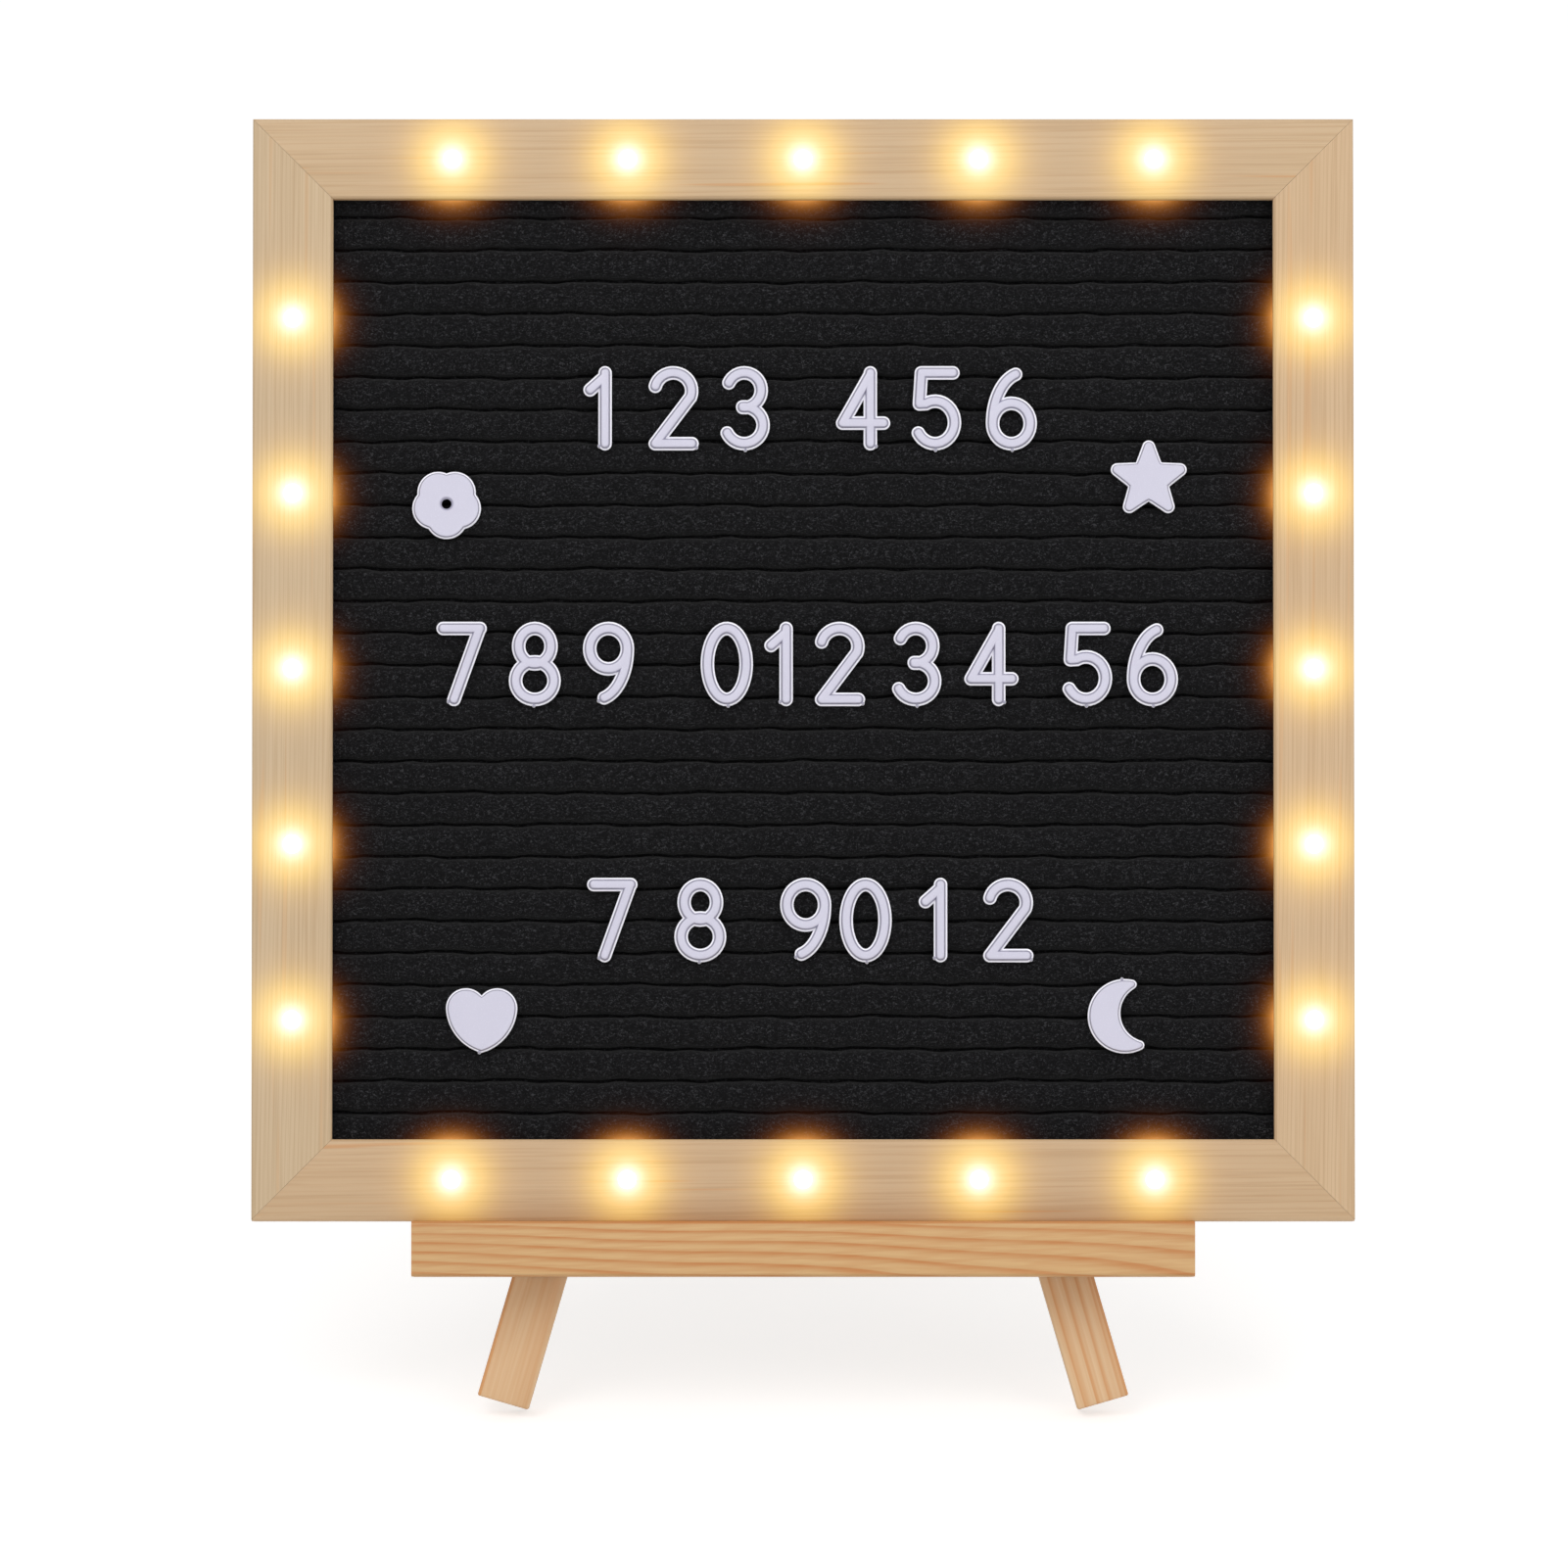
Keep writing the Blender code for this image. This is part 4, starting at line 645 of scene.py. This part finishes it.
def makeFloor():
    # white where it is seen, with the object's shadow left in it
    look = studio["floor"]
    x, y = np.meshgrid(*[np.linspace(-look["half"], look["half"], 3)] * 2)
    flat = np.stack([x, y, np.zeros_like(x)], -1)
    floor = meshPiece("floor", flat, gridQuads(*x.shape), outward=False)
    paint = Sheet("whiteFloor")
    rays = paint.node("ShaderNodeLightPath").outputs
    seen = paint.larger(rays["Is Camera Ray"], rays["Is Glossy Ray"])
    paint.shine(white, paint.times(seen, look["shine"]))
    paint.feed(paint.shader, {"Specular IOR Level": 0.0})
    colour = paint.mixed(seen, look["lit"], look["seen"])
    floor.data.materials.append(paint.done(colour, look["roughness"]))


def makeStudio():
    bpy.context.scene.view_settings.view_transform = "Standard"
    makeWorld()
    for name, lamp in studio["lamps"].items():
        areaLight(name, **lamp)
    makeFloor()


felt = {
    "pitch": 7.39 * mm, "offset": 1.2 * mm, "depth": 4.1 * mm, "crown": -4.35 * mm,
    "half": 113.1 * mm, "margin": 1.2 * mm, "thickness": 0.6 * mm, "columns": 118,
    "highest": 0.25 * mm, "seed": 7,
    "swayLoss": 0.75,  # share of the sway that is gone at the crown of a rib
    # half a rib from the groove outwards: share of half the pitch, share of the depth
    "rib": ((0.06, 1.0), (0.10, 0.72), (0.14, 0.46), (0.20, 0.28), (0.31, 0.13), (0.50, 0.04),
            (0.80, 0.0)),
    # waves along a groove: their lengths in metres and what share each adds to the size
    "sway": {"lengths": (0.0075, 0.013, 0.029, 0.071), "shares": (0.35, 0.5, 0.6, 0.5),
             "size": 0.26 * mm},
    "swell": {"lengths": (0.009, 0.017, 0.043), "shares": (0.4, 0.6, 0.6), "size": 0.09 * mm},
    "gape": {"lengths": (0.006, 0.011, 0.023), "shares": (0.3, 0.4, 0.4), "size": 0.35},
}


def grooveLines():
    reach = halfOpening - felt["margin"]
    low = math.ceil((-reach - felt["offset"]) / felt["pitch"])
    high = math.floor((reach - felt["offset"]) / felt["pitch"])
    return felt["offset"] + np.arange(low, high + 1) * felt["pitch"]


def waves(x, rng, kind, rows):
    # a few sines of chosen lengths with a phase of their own in each row, summed
    total = np.zeros((rows, len(x)))
    for length, share in zip(felt[kind]["lengths"], felt[kind]["shares"]):
        phase = rng.uniform(0.0, 2 * math.pi, (rows, 1))
        total += share * np.sin(2 * math.pi * x[None, :] / length + phase)
    return total * felt[kind]["size"]


def makeFelt(material):
    # the pleated sheet: v runs through groove and rib profiles, u across; each groove sways a
    # little from side to side and gapes here and there, and each rib swells and sinks
    rng = np.random.default_rng(felt["seed"])
    grooves = grooveLines()
    half = felt["pitch"] / 2
    x = np.linspace(-felt["half"], felt["half"], felt["columns"])
    sway = waves(x, rng, "sway", len(grooves))
    swell = waves(x, rng, "swell", len(grooves) + 1)
    gape = waves(x, rng, "gape", len(grooves))
    rowsV, rowsW = [], []

    def addRow(base, shift, share, depth, lift):
        rowsV.append(base + shift * share)
        rowsW.append(felt["crown"] - depth * felt["depth"] + lift * (1.0 - depth))

    def addRib(i, groove, side):
        # half a rib: from its crown down to the groove, or from the groove up to its crown
        for place, depth in reversed(felt["rib"]) if side < 0 else felt["rib"]:
            near = place * (1.0 + gape[i] * (1.0 - place))
            lift = swell[i] if side < 0 else swell[i + 1]
            addRow(groove + side * near * half, sway[i], 1.0 - felt["swayLoss"] * place, depth, lift)

    flat = np.zeros_like(x)
    addRow(np.full_like(x, -felt["half"]), flat, 0.0, 0.0, flat)
    for i, groove in enumerate(grooves):
        addRib(i, groove, -1)
        addRib(i, groove, 1)
    addRow(np.full_like(x, felt["half"]), flat, 0.0, 0.0, flat)
    v, w = np.array(rowsV), np.minimum(np.array(rowsW), felt["crown"] + felt["highest"])
    points = onBoard(x[None, :], v, w)
    piece = meshPiece("feltSheet", points, gridQuads(*v.shape), outward=False)
    thick = piece.modifiers.new("thickness", "SOLIDIFY")
    thick.thickness = felt["thickness"]
    thick.offset = -1.0
    baked(piece)
    settle(piece, rootBody, material, ["felt_sheet"])


character = {
    "radius": 1.55 * mm, "height": 2.0 * mm, "halfWidth": 4.35 * mm, "over": 0.8 * mm,
    "back": -4.0 * mm, "lower": 0.014,  # share of the height that each further stroke loses
    "endTurn": (12, 24, 36, 48, 60, 72, 84), "sharpFrom": 34,
    "across": (0.95, 0.88, 0.80, 0.74, 0.66, 0.58, 0.48, 0.30, 0.10),
    "prongWidth": 2.4 * mm, "prongThick": 0.6 * mm, "prongLength": 3.0 * mm, "prongInto": 0.8 * mm,
    "nub": ((0.42, 0.02), (0.46, 0.5), (0.40, 0.95), (0.24, 1.2), (0.05, 1.26)), "nubSides": 10,
    "nubTall": 1.15,
    # the face is the plastic's own colour; the other two are painted shade on the sloping sides and a
    # painted highlight at the foot
    "face": (0.60, 0.585, 0.695), "shadedSlope": (0.37, 0.36, 0.46), "rimHighlight": (0.92, 0.91, 0.98),
}
# for each row of numerals: how many grooves over the middle one, the numerals, their places in mm
numeralRows = (
    (8, "123456", (-46.5, -30.0, -13.5, 13.7, 30.7, 48.1)),
    (0, "7890123456", (-78.8, -61.9, -44.9, -17.6, -4.7, 8.4, 26.1, 43.3, 65.5, 80.6)),
    (-8, "789012", (-44.0, -23.7, 0.6, 14.4, 30.9, 47.2)),
)
# in half widths, where the upper and the lower prong stand
prongSpots = {"1": (0.18, 0.18), "4": (0.42, 0.42), "6": (0.12, 0.0), "7": (0.0, -0.3),
              "9": (0.0, -0.12)}
# in mm from the numeral's middle, where its nub stands
nubSpots = {"0": (0.3, -9.62), "1": (-0.55, -8.75), "2": (5.35, -9.1), "3": (0.2, -9.62),
            "4": (3.1, -8.8), "5": (-0.1, -9.62), "6": (0.2, -9.60), "7": (-3.0, -8.7),
            "8": (-0.2, -9.62), "9": (-2.2, -8.5)}


def arc(cx, cz, rx, rz, start, end, count):
    angle = np.radians(np.linspace(start, end, count))
    return np.stack([cx + rx * np.cos(angle), cz + rz * np.sin(angle)], axis=1)


def bar(start, end):
    return np.array([start, end]), False


# centre lines of each numeral's strokes in shares of its half width and half height, and whether
# each one closes on itself
six = [(arc(0, -0.43, 1.0, 0.57, 0, 351, 40), True),
       (arc(0.62, -0.43, 1.62, 1.43, 180, 104, 18), False)]
glyphs = {
    "0": [(arc(0, 0, 1.03, 1.0, 0, 352, 45), True)],
    "1": [bar((0.18, -1.0), (0.18, 1.0)), bar((0.1, 0.86), (-0.62, 0.52))],
    "2": [(np.vstack([arc(0, 0.49, 0.98, 0.51, 165, -20, 26), [(-0.95, -1.0)]]), False),
          bar((-0.92, -1.0), (1.0, -1.0))],
    "3": [(arc(-0.02, 0.51, 0.9, 0.49, 155, -95, 28), False),
          (arc(-0.02, -0.48, 1.0, 0.52, 95, -155, 28), False)],
    "4": [bar((0.36, 0.9), (-1.05, -0.42)), bar((-1.01, -0.42), (1.12, -0.42)),
          bar((0.42, 1.0), (0.42, -1.0))],
    "5": [bar((0.9, 1.0), (-0.78, 1.0)), bar((-0.78, 0.97), (-0.88, 0.14)),
          (np.vstack([[(-0.88, 0.12)], arc(-0.05, -0.4, 1.03, 0.6, 118, -150, 28)]), False)],
    "6": six,
    "7": [bar((-0.98, 1.0), (0.98, 1.0)), bar((0.94, 0.98), (-0.4, -1.0))],
    "8": [(arc(0, 0.5, 0.86, 0.5, 0, 350, 36), True),
          (arc(0, -0.47, 1.02, 0.53, 0, 350, 36), True)],
    "9": [(-path, closed) for path, closed in six],
}


def crown(away):
    # height share of a stroke's top, from its middle (0) to its side (1)
    places = (0.0, 0.30, 0.44, 0.52, 0.60, 0.68, 0.75, 0.80, 0.90, 1.0)
    heights = (1.0, 0.995, 0.985, 0.955, 0.86, 0.68, 0.54, 0.49, 0.47, 0.41)
    return np.interp(away, places, heights)


def strokePiece(name, path, closed, u, v, rank):
    # the crowned section carried along the path, each ring at right angles to it; past an open
    # end the rings narrow as the cosine and step on as the sine, and the height of each point
    # comes from its distance from the end, so that the end is a dome
    radius = character["radius"]
    ahead = np.roll(path, -1, 0) - path
    ahead /= np.linalg.norm(ahead, axis=1, keepdims=True)
    into = np.roll(ahead, 1, 0)
    if not closed:
        into[0] = ahead[0]
        ahead[-1] = into[-1]
    along = into + ahead
    along /= np.linalg.norm(along, axis=1, keepdims=True)
    stretch = 1.0 / np.maximum((along * into).sum(1), 0.5)
    normal = np.stack([along[:, 1], -along[:, 0]], 1) * stretch[:, None]
    wide, past = np.ones(len(path)), np.zeros(len(path))
    if not closed:
        turn = np.radians(character["endTurn"])
        head = path[0] - into[0] * (np.sin(turn) * radius)[::-1, None]
        tail = path[-1] + into[-1] * (np.sin(turn) * radius)[:, None]
        path = np.vstack([head, path, tail])
        normal = np.vstack([np.repeat(normal[:1], len(turn), 0), normal,
                            np.repeat(normal[-1:], len(turn), 0)])
        wide = np.concatenate([np.cos(turn)[::-1], wide, np.cos(turn)])
        past = np.concatenate([np.sin(turn)[::-1], past, np.sin(turn)])
    share = np.array(character["across"])
    share = np.concatenate([[1.0, 1.0], share, -share[::-1], [-1.0, -1.0]])
    offset = share[None, :] * wide[:, None]
    high = crown(np.hypot(offset, past[:, None]))
    high[:, [0, -1]] = 0.0
    pu = u + path[:, 0:1] + normal[:, 0:1] * offset * radius
    pv = v + path[:, 1:2] + normal[:, 1:2] * offset * radius
    pw = character["back"] + high * character["height"] * (1.0 - character["lower"] * rank)
    return tubePiece(name, onBoard(pu, pv, pw), closed)


def prongAt(u, v):
    half, thick = character["prongWidth"] / 2, character["prongThick"] / 2
    ends = character["back"] - character["prongLength"], character["back"] + character["prongInto"]
    return boxPiece("prong", (u - half, u + half), (v - thick, v + thick), ends)


def nubAt(u, v):
    # the little gate left where the character was snapped off its sprue
    return turnedPiece("nub", [(u, v)], character["nub"], character["nubSides"],
                       character["back"], character["nubTall"])


def makeNumerals(material):
    halfSize = np.array([character["halfWidth"], felt["pitch"] + character["over"]])
    number = 0
    for groove, text, places in numeralRows:
        v = felt["offset"] + groove * felt["pitch"]
        for digit, place in zip(text, places):
            number += 1
            u = place * mm
            piece = None
            for rank, (path, closed) in enumerate(glyphs[digit]):
                part = strokePiece("numeral%02d" % number, path * halfSize, closed, u, v, rank)
                piece = part if piece is None else combined(piece, part, "UNION")
            for side, spot in zip((1, -1), prongSpots.get(digit, (0.0, 0.0))):
                prong = prongAt(u + spot * character["halfWidth"], v + side * felt["pitch"])
                combined(piece, prong, "UNION")
            nubU, nubV = nubSpots[digit]
            combined(piece, nubAt(u + nubU * mm, v + nubV * mm), "UNION")
            node = "numeral_%02d_%s" % (number, digit)
            settle(piece, rootBody, material, [node], character["sharpFrom"])


# an ornament's edge, ring by ring: how far in from the outline and how high over the felt, in mm
plateRings = ((0.0, 0.0), (0.0, 0.80), (0.06, 0.93), (0.30, 0.98), (0.36, 1.08), (0.50, 1.62),
              (0.58, 1.84), (0.68, 1.96), (0.80, 2.0), (0.84, 2.0))


def roundedPlate(name, outline, u, v):
    # an outline raised from the felt: a thin foot, then a sloping and rounded edge up to the face,
    # each ring set inwards along the outline's normals
    ahead = np.roll(outline, -1, 0) - np.roll(outline, 1, 0)
    ahead /= np.linalg.norm(ahead, axis=1, keepdims=True)
    inward = np.stack([-ahead[:, 1], ahead[:, 0]], 1)
    pu = np.array([u + outline[:, 0] + inward[:, 0] * a * mm for a, _ in plateRings])
    pv = np.array([v + outline[:, 1] + inward[:, 1] * a * mm for a, _ in plateRings])
    pw = character["back"] + np.array([[h * mm] for _, h in plateRings])
    return tubePiece(name, onBoard(pu, pv, pw))


def around(centre, radius, start, end, count):
    angle = np.linspace(start, end, count)
    return np.stack([centre[0] + radius * np.cos(angle), centre[1] + radius * np.sin(angle)], 1)


def turnedBy(points, angle):
    c, s = math.cos(angle), math.sin(angle)
    return points @ np.array([[c, s], [-s, c]])


petalReach = 8.1 * mm


def flowerOutline(centre=3.25 * mm, perPetal=18):
    # outer edge of five circles round the middle, one petal pointing down
    off = np.radians(np.tile(np.linspace(-36.0, 36.0, perPetal + 1)[:-1], 5))
    axis = -math.pi / 2 + np.repeat(np.arange(5), perPetal) * 2 * math.pi / 5
    reach = centre * np.cos(off) + np.sqrt((petalReach - centre) ** 2 - (centre * np.sin(off)) ** 2)
    return np.stack([reach * np.cos(axis + off), reach * np.sin(axis + off)], 1)


def starOutline(radius=9.15 * mm, notchRadius=5.0 * mm, tip=1.5 * mm):
    # round tips, each joined to the notches by its two tangents
    reach = radius - tip
    notch = notchRadius * np.array([math.cos(math.pi / 5), math.sin(math.pi / 5)])
    slant = math.atan2(-notch[1], reach - notch[0])
    slant += math.asin(tip / math.hypot(reach - notch[0], notch[1]))
    facing = slant + math.pi / 2
    side = np.linspace(0.15, 0.85, 4)[:, None]
    last = np.array([reach + tip * math.cos(facing), tip * math.sin(facing)])
    down = last + (notch - last) * side
    up = down[::-1] * np.array([1.0, -1.0])
    point = np.vstack([up, around((reach, 0.0), tip, -facing, facing, 15), down, [notch]])
    turns = math.pi / 2 + np.arange(5) * 2 * math.pi / 5
    return np.vstack([turnedBy(point, turn) for turn in turns])


def heartOutline(width=16.5 * mm, lobe=4.66 * mm, side=11.2 * mm, tip=0.8 * mm, rise=1.8 * mm):
    # two round lobes, each running on in a wider arc to a small round tip
    lobeX = width / 2 - lobe
    turn = math.radians(185.0)
    middle = np.array([-lobeX - (side - lobe) * math.cos(turn), rise - (side - lobe) * math.sin(turn)])
    low = middle[1] - math.sqrt((side - tip) ** 2 - middle[0] ** 2)
    facing = math.atan2(low - middle[1], -middle[0]) + 2 * math.pi
    notch = math.acos(lobeX / lobe)
    left = np.vstack([around((-lobeX, rise), lobe, notch, turn, 34),
                      around(middle, side, turn, facing, 20)[1:]])
    point = around((0.0, low), tip, facing, 3 * math.pi - facing, 7)[1:-1]
    return np.vstack([left, point, left[::-1][:-1] * np.array([-1.0, 1.0])])


def moonOutline(radius=8.6 * mm, thick=7.6 * mm, horn=1.1 * mm):
    # a crescent: outer and inner arc joined by two round horns, turned a little
    opening, tilt = math.radians(70.4), math.radians(7.2)
    hx, hz = (radius - horn) * math.cos(opening), (radius - horn) * math.sin(opening)
    gap = radius - thick + horn
    shift = (hx ** 2 + hz ** 2 - gap ** 2) / (2 * (hx + gap))
    inner = shift + radius - thick
    bend = math.atan2(hz, shift - hx)
    path = np.vstack([around((0.0, 0.0), radius, opening, 2 * math.pi - opening, 49),
                      around((hx, -hz), horn, -opening, bend, 12)[1:],
                      around((shift, 0.0), inner, math.pi + bend, math.pi - bend, 33)[1:],
                      around((hx, hz), horn, -bend, opening, 12)[1:-1]])
    return turnedBy(path, tilt) + np.array([radius * 0.3, 0.0])


# where each ornament stands: across, how many grooves over the middle one, how far under that
# groove, and from its middle its prongs and the nub, if it has one
starDrop = 1.8 * mm
ornaments = {
    "flower": {"outline": flowerOutline, "u": -82.3 * mm, "groove": 5, "drop": 0.0,
               "prongs": ((-petalReach / 2, 0.0), (petalReach / 2, 0.0))},
    "star": {"outline": starOutline, "u": 79.8 * mm, "groove": 6, "drop": starDrop,
             "prongs": ((-3 * mm, starDrop), (3 * mm, starDrop))},
    "heart": {"outline": heartOutline, "u": -74.1 * mm, "groove": -11, "drop": 0.0,
              "prongs": ((-4 * mm, 0.0), (4 * mm, 0.0)), "nub": (-0.5 * mm, -8.25 * mm)},
    "moon": {"outline": moonOutline, "u": 71.6 * mm, "groove": -11, "drop": 0.0,
             "prongs": ((0.0, felt["pitch"]), (1 * mm, -felt["pitch"])),
             "nub": (1.9 * mm, 8.45 * mm)},
}
# the flower's hole: a straight one with a countersink at the face, as radius and height in mm
flowerHole = ((1.15, -1.0), (1.15, 1.45), (1.8, 2.1), (1.8, 3.0))
holeSides = 32


def makeOrnaments(material):
    for name, plan in ornaments.items():
        u, v = plan["u"], felt["offset"] + plan["groove"] * felt["pitch"] - plan["drop"]
        piece = roundedPlate(name + "Plate", plan["outline"](), u, v)
        if name == "flower":
            drill = turnedPiece("drill", [(u, v)], flowerHole, holeSides, character["back"])
            combined(piece, drill, "DIFFERENCE")
        for pu, pv in plan["prongs"]:
            combined(piece, prongAt(u + pu, v + pv), "UNION")
        if "nub" in plan:
            nubU, nubV = plan["nub"]
            combined(piece, nubAt(u + nubU, v + nubV), "UNION")
        settle(piece, rootBody, material, [name], character["sharpFrom"])


lampString = {
    # a lamp from its dome to its tail: radius and height over the rail's face, in mm
    "profile": ((0.05, 0.62), (0.7, 0.57), (1.2, 0.42), (1.6, 0.1), (1.8, -0.25), (2.12, -0.32),
                (2.12, -1.2), (1.85, -1.3), (1.85, -12.8), (1.1, -14.2), (0.05, -14.4)),
    "sides": 24, "wire": 0.8 * mm, "wireDepth": -15.0 * mm, "wireSides": 12, "sharpFrom": 40,
    # the battery box's middle from the board's top edge, and from there up into its top wall
    "boxDown": 62.0 * mm, "boxUp": 15.85 * mm,
}


def makeLamps(beadMaterial, wireMaterial):
    # the lamps are one turned shape at every lamp's place; the wire is a round section carried
    # round the four channels, and its lead is the same section carried down to the battery box
    beads = turnedPiece("lampBeads", lampPlaces(), lampString["profile"], lampString["sides"])
    settle(beads, rootBody, beadMaterial, ["led_string"])
    angle = np.linspace(0.0, 2 * math.pi, lampString["wireSides"] + 1)[:-1]
    across = lampString["wire"] * np.cos(angle)[None, :]
    pw = lampString["wireDepth"] + lampString["wire"] * np.sin(angle)[None, :]
    corners = np.array([(-1, -1), (1, -1), (1, 1), (-1, 1)])
    loop = onBoard(corners[:, 0:1] * (lampLine + across), corners[:, 1:2] * (lampLine + across), pw)
    wire = tubePiece("lampWire", loop, True)
    leadEnd = halfBoard - lampString["boxDown"] + lampString["boxUp"]
    lead = onBoard(leadLine + across, np.array([[lampLine], [leadEnd]]), pw)
    combined(wire, tubePiece("lead", lead), "UNION")
    settle(wire, rootBody, wireMaterial, ["led_string"], lampString["sharpFrom"])


railShape = {
    # the section from the outer edge inwards: distance in and height over the front face, in mm
    "section": ((0.0, -0.5), (0.07, -0.25), (0.25, -0.07), (0.5, 0.0), (17.72, 0.0), (17.86, -0.06),
                (18.44, -0.64), (18.5, -0.78), (18.5, -4.0), (13.5, -4.0), (13.5, -18.0),
                (11.25, -18.0), (11.25, -12.0), (7.25, -12.0), (7.25, -18.0), (0.5, -18.0),
                (0.25, -17.93), (0.07, -17.75), (0.0, -17.5)),
    "mitreGap": 0.03 * mm, "edge": 0.1 * mm, "sharpFrom": 30,
    "hole": ((2.15, 1.0), (2.15, -12.5)),  # a lamp hole's cutter: radius and height in mm
    # the lead's slot in the top rail: half its width, its start over the opening, its two depths
    "slotHalf": 1.5 * mm, "slotStart": 4.0 * mm, "slotDepths": (-19.0 * mm, -13.9 * mm),
}


def makeFrame():
    # each rail is its section carried from mitre to mitre, shorter towards the opening
    section = np.array(railShape["section"]) * mm
    inward, high = section[:, 0], section[:, 1]
    each = board["lampsPerRail"]
    reach = halfBoard - inward
    along = np.array([[-1.0], [1.0]]) * (reach - railShape["mitreGap"])[None, :]
    lamps = lampPlaces()
    for i, (rail, turn) in enumerate((("top", 0), ("bottom", 2), ("left", 1), ("right", 3))):
        c, s = round(math.cos(turn * math.pi / 2)), round(math.sin(turn * math.pi / 2))
        seat = board["seat"] if rail == "bottom" else 0.0
        out = (reach + seat * (inward < railShape["edge"]))[None, :]
        points = onBoard(along * c - out * s, along * s + out * c, high[None, :])
        piece = tubePiece(rail + "Rail", points)
        own = lamps[each * i:each * (i + 1)]
        combined(piece, turnedPiece("drills", own, railShape["hole"], holeSides), "DIFFERENCE")
        if rail == "top":
            half = railShape["slotHalf"]
            slot = boxPiece("slot", (leadLine - half, leadLine + half),
                            (halfOpening + railShape["slotStart"], lampLine),
                            railShape["slotDepths"])
            combined(piece, slot, "DIFFERENCE")
        settle(piece, rootBody, railFinish(rail), [rail + "_rail"],
               railShape["sharpFrom"])


# for each wooden piece of the easel: the grain's direction, the heart line's place from the
# piece's middle, and the spacing, wander and contrast of the rings; where it has a band of
# painted shade, also which way that lies and how far out it starts
splay, spread = math.radians(16.3), math.radians(34.0)
easelPieces = {
    "ledge": {
        "name": "ledge", "look": "ledge", "body": rootBody, "along": (1.0, 0.06, 0.032),
        "heart": (0.0, 6 * mm, -16 * mm), "spacing": 1.8 * mm, "wander": 4.0 * mm, "contrast": 0.95,
        # painted shade along the ledge's top, where the board sits on it
        "strip": -halfBoard - 0.95 * mm, "outward": (0.0, 0.0, 1.0)},
    "left_front_leg": {
        "name": "leftLeg", "look": "leg", "body": rootBody,
        "along": (math.sin(splay), 0.01, math.cos(splay)), "heart": (-5 * mm, 36 * mm, 0.0),
        "spacing": 2.6 * mm, "wander": 1.2 * mm, "contrast": 0.35,
        # painted shade along the leg's outer edge
        "strip": 24.6 * mm, "outward": (-math.cos(splay), 0.0, math.sin(splay))},
    "right_front_leg": {
        "name": "rightLeg", "look": "leg", "body": rootBody,
        "along": (-math.sin(splay), 0.015, math.cos(splay)), "heart": (40 * mm, 3 * mm, 11 * mm),
        "spacing": 2.9 * mm, "wander": 2.0 * mm, "contrast": 0.95,
        # painted shade along the leg's outer edge
        "strip": 24.6 * mm, "outward": (math.cos(splay), 0.0, math.sin(splay))},
    "head_block": {
        "name": "headBlock", "look": "leg", "body": rootBody, "along": (0.02, 0.02, 1.0),
        "heart": (3 * mm, 40 * mm, 0.0), "spacing": 2.6 * mm, "wander": 2.0 * mm, "contrast": 0.7},
    "rear_leg": {
        "name": "rearLeg", "look": "leg", "body": "folding_leg",
        "along": (0.01, math.sin(spread), -math.cos(spread)), "heart": (9 * mm, 20 * mm, 14 * mm),
        "spacing": 2.5 * mm, "wander": 2.0 * mm, "contrast": 0.7},
}
easelBevel = {"width": 0.45 * mm, "segments": 3}


def makeEasel():
    for node, grain in easelPieces.items():
        piece = softened(node, grain["name"], **easelBevel)
        settle(piece, grain["body"], easelFinish(node, grain), [node])


# the softened pieces behind the board: name, bevel, whole faces or triangles, body and slot
backPieces = {
    "backing_board": ("backingBoard", 0.3 * mm, True, rootBody, "fibreboard"),
    "battery_case": ("batteryCase", 0.25 * mm, False, rootBody, "black_plastic"),
    "battery_lid": ("batteryLid", 0.15 * mm, False, "box_lid", "black_plastic"),
    "switch_knob": ("switchKnob", 0.2 * mm, True, "slide_button", "black_plastic"),
}
# the CAD nodes that keep their shape, by finish
dressed = {
    "brass": ("fixed_leaf", "moving_leaf", "hinge_pin", "block_hinge_screw_1",
              "block_hinge_screw_2", "leg_hinge_screw_1", "leg_hinge_screw_2"),
    "zincSteel": ("left_ledge_screw", "right_ledge_screw", "left_block_screw", "right_block_screw",
                  "contact_bridge", "contact_spring", "lower_contact", "upper_contact"),
    "cellWrap": ("upper_cell", "lower_cell"),
    "blackPlastic": ("switch_body",),
}


def makeBack(blackPlastic):
    finishes = {"fibreboard": boardFinish(), "black_plastic": blackPlastic}
    for node, (name, width, whole, body, slotName) in backPieces.items():
        piece = softened(node, name, width, wholeFaces=whole)
        settle(piece, body, finishes[slotName], [node])
    materials = {"brass": metalFinish("brass"), "zincSteel": metalFinish("zincSteel"),
                 "cellWrap": plasticFinish("cellWrap"), "blackPlastic": blackPlastic}
    for finish, nodes in dressed.items():
        for node in nodes:
            dress(node, materials[finish])


def dress(node, material):
    # a CAD node that keeps its shape gets its finish in every slot
    shown = frame["nodes"][node]
    if not shown.material_slots:
        shown.data.materials.append(material)
    for place in shown.material_slots:
        place.material = material


def main():
    makeCamera()
    makeStudio()
    print("studio and camera ready")
    makeFrame()
    makeFelt(feltFinish())
    print("frame and felt ready")
    palePlastic = characterFinish()
    makeNumerals(palePlastic)
    makeOrnaments(palePlastic)
    print("characters ready")
    blackPlastic = plasticFinish("blackPlastic")
    makeLamps(lampFinish(), blackPlastic)
    makeEasel()
    makeBack(blackPlastic)
    print("easel and battery box ready")


main()
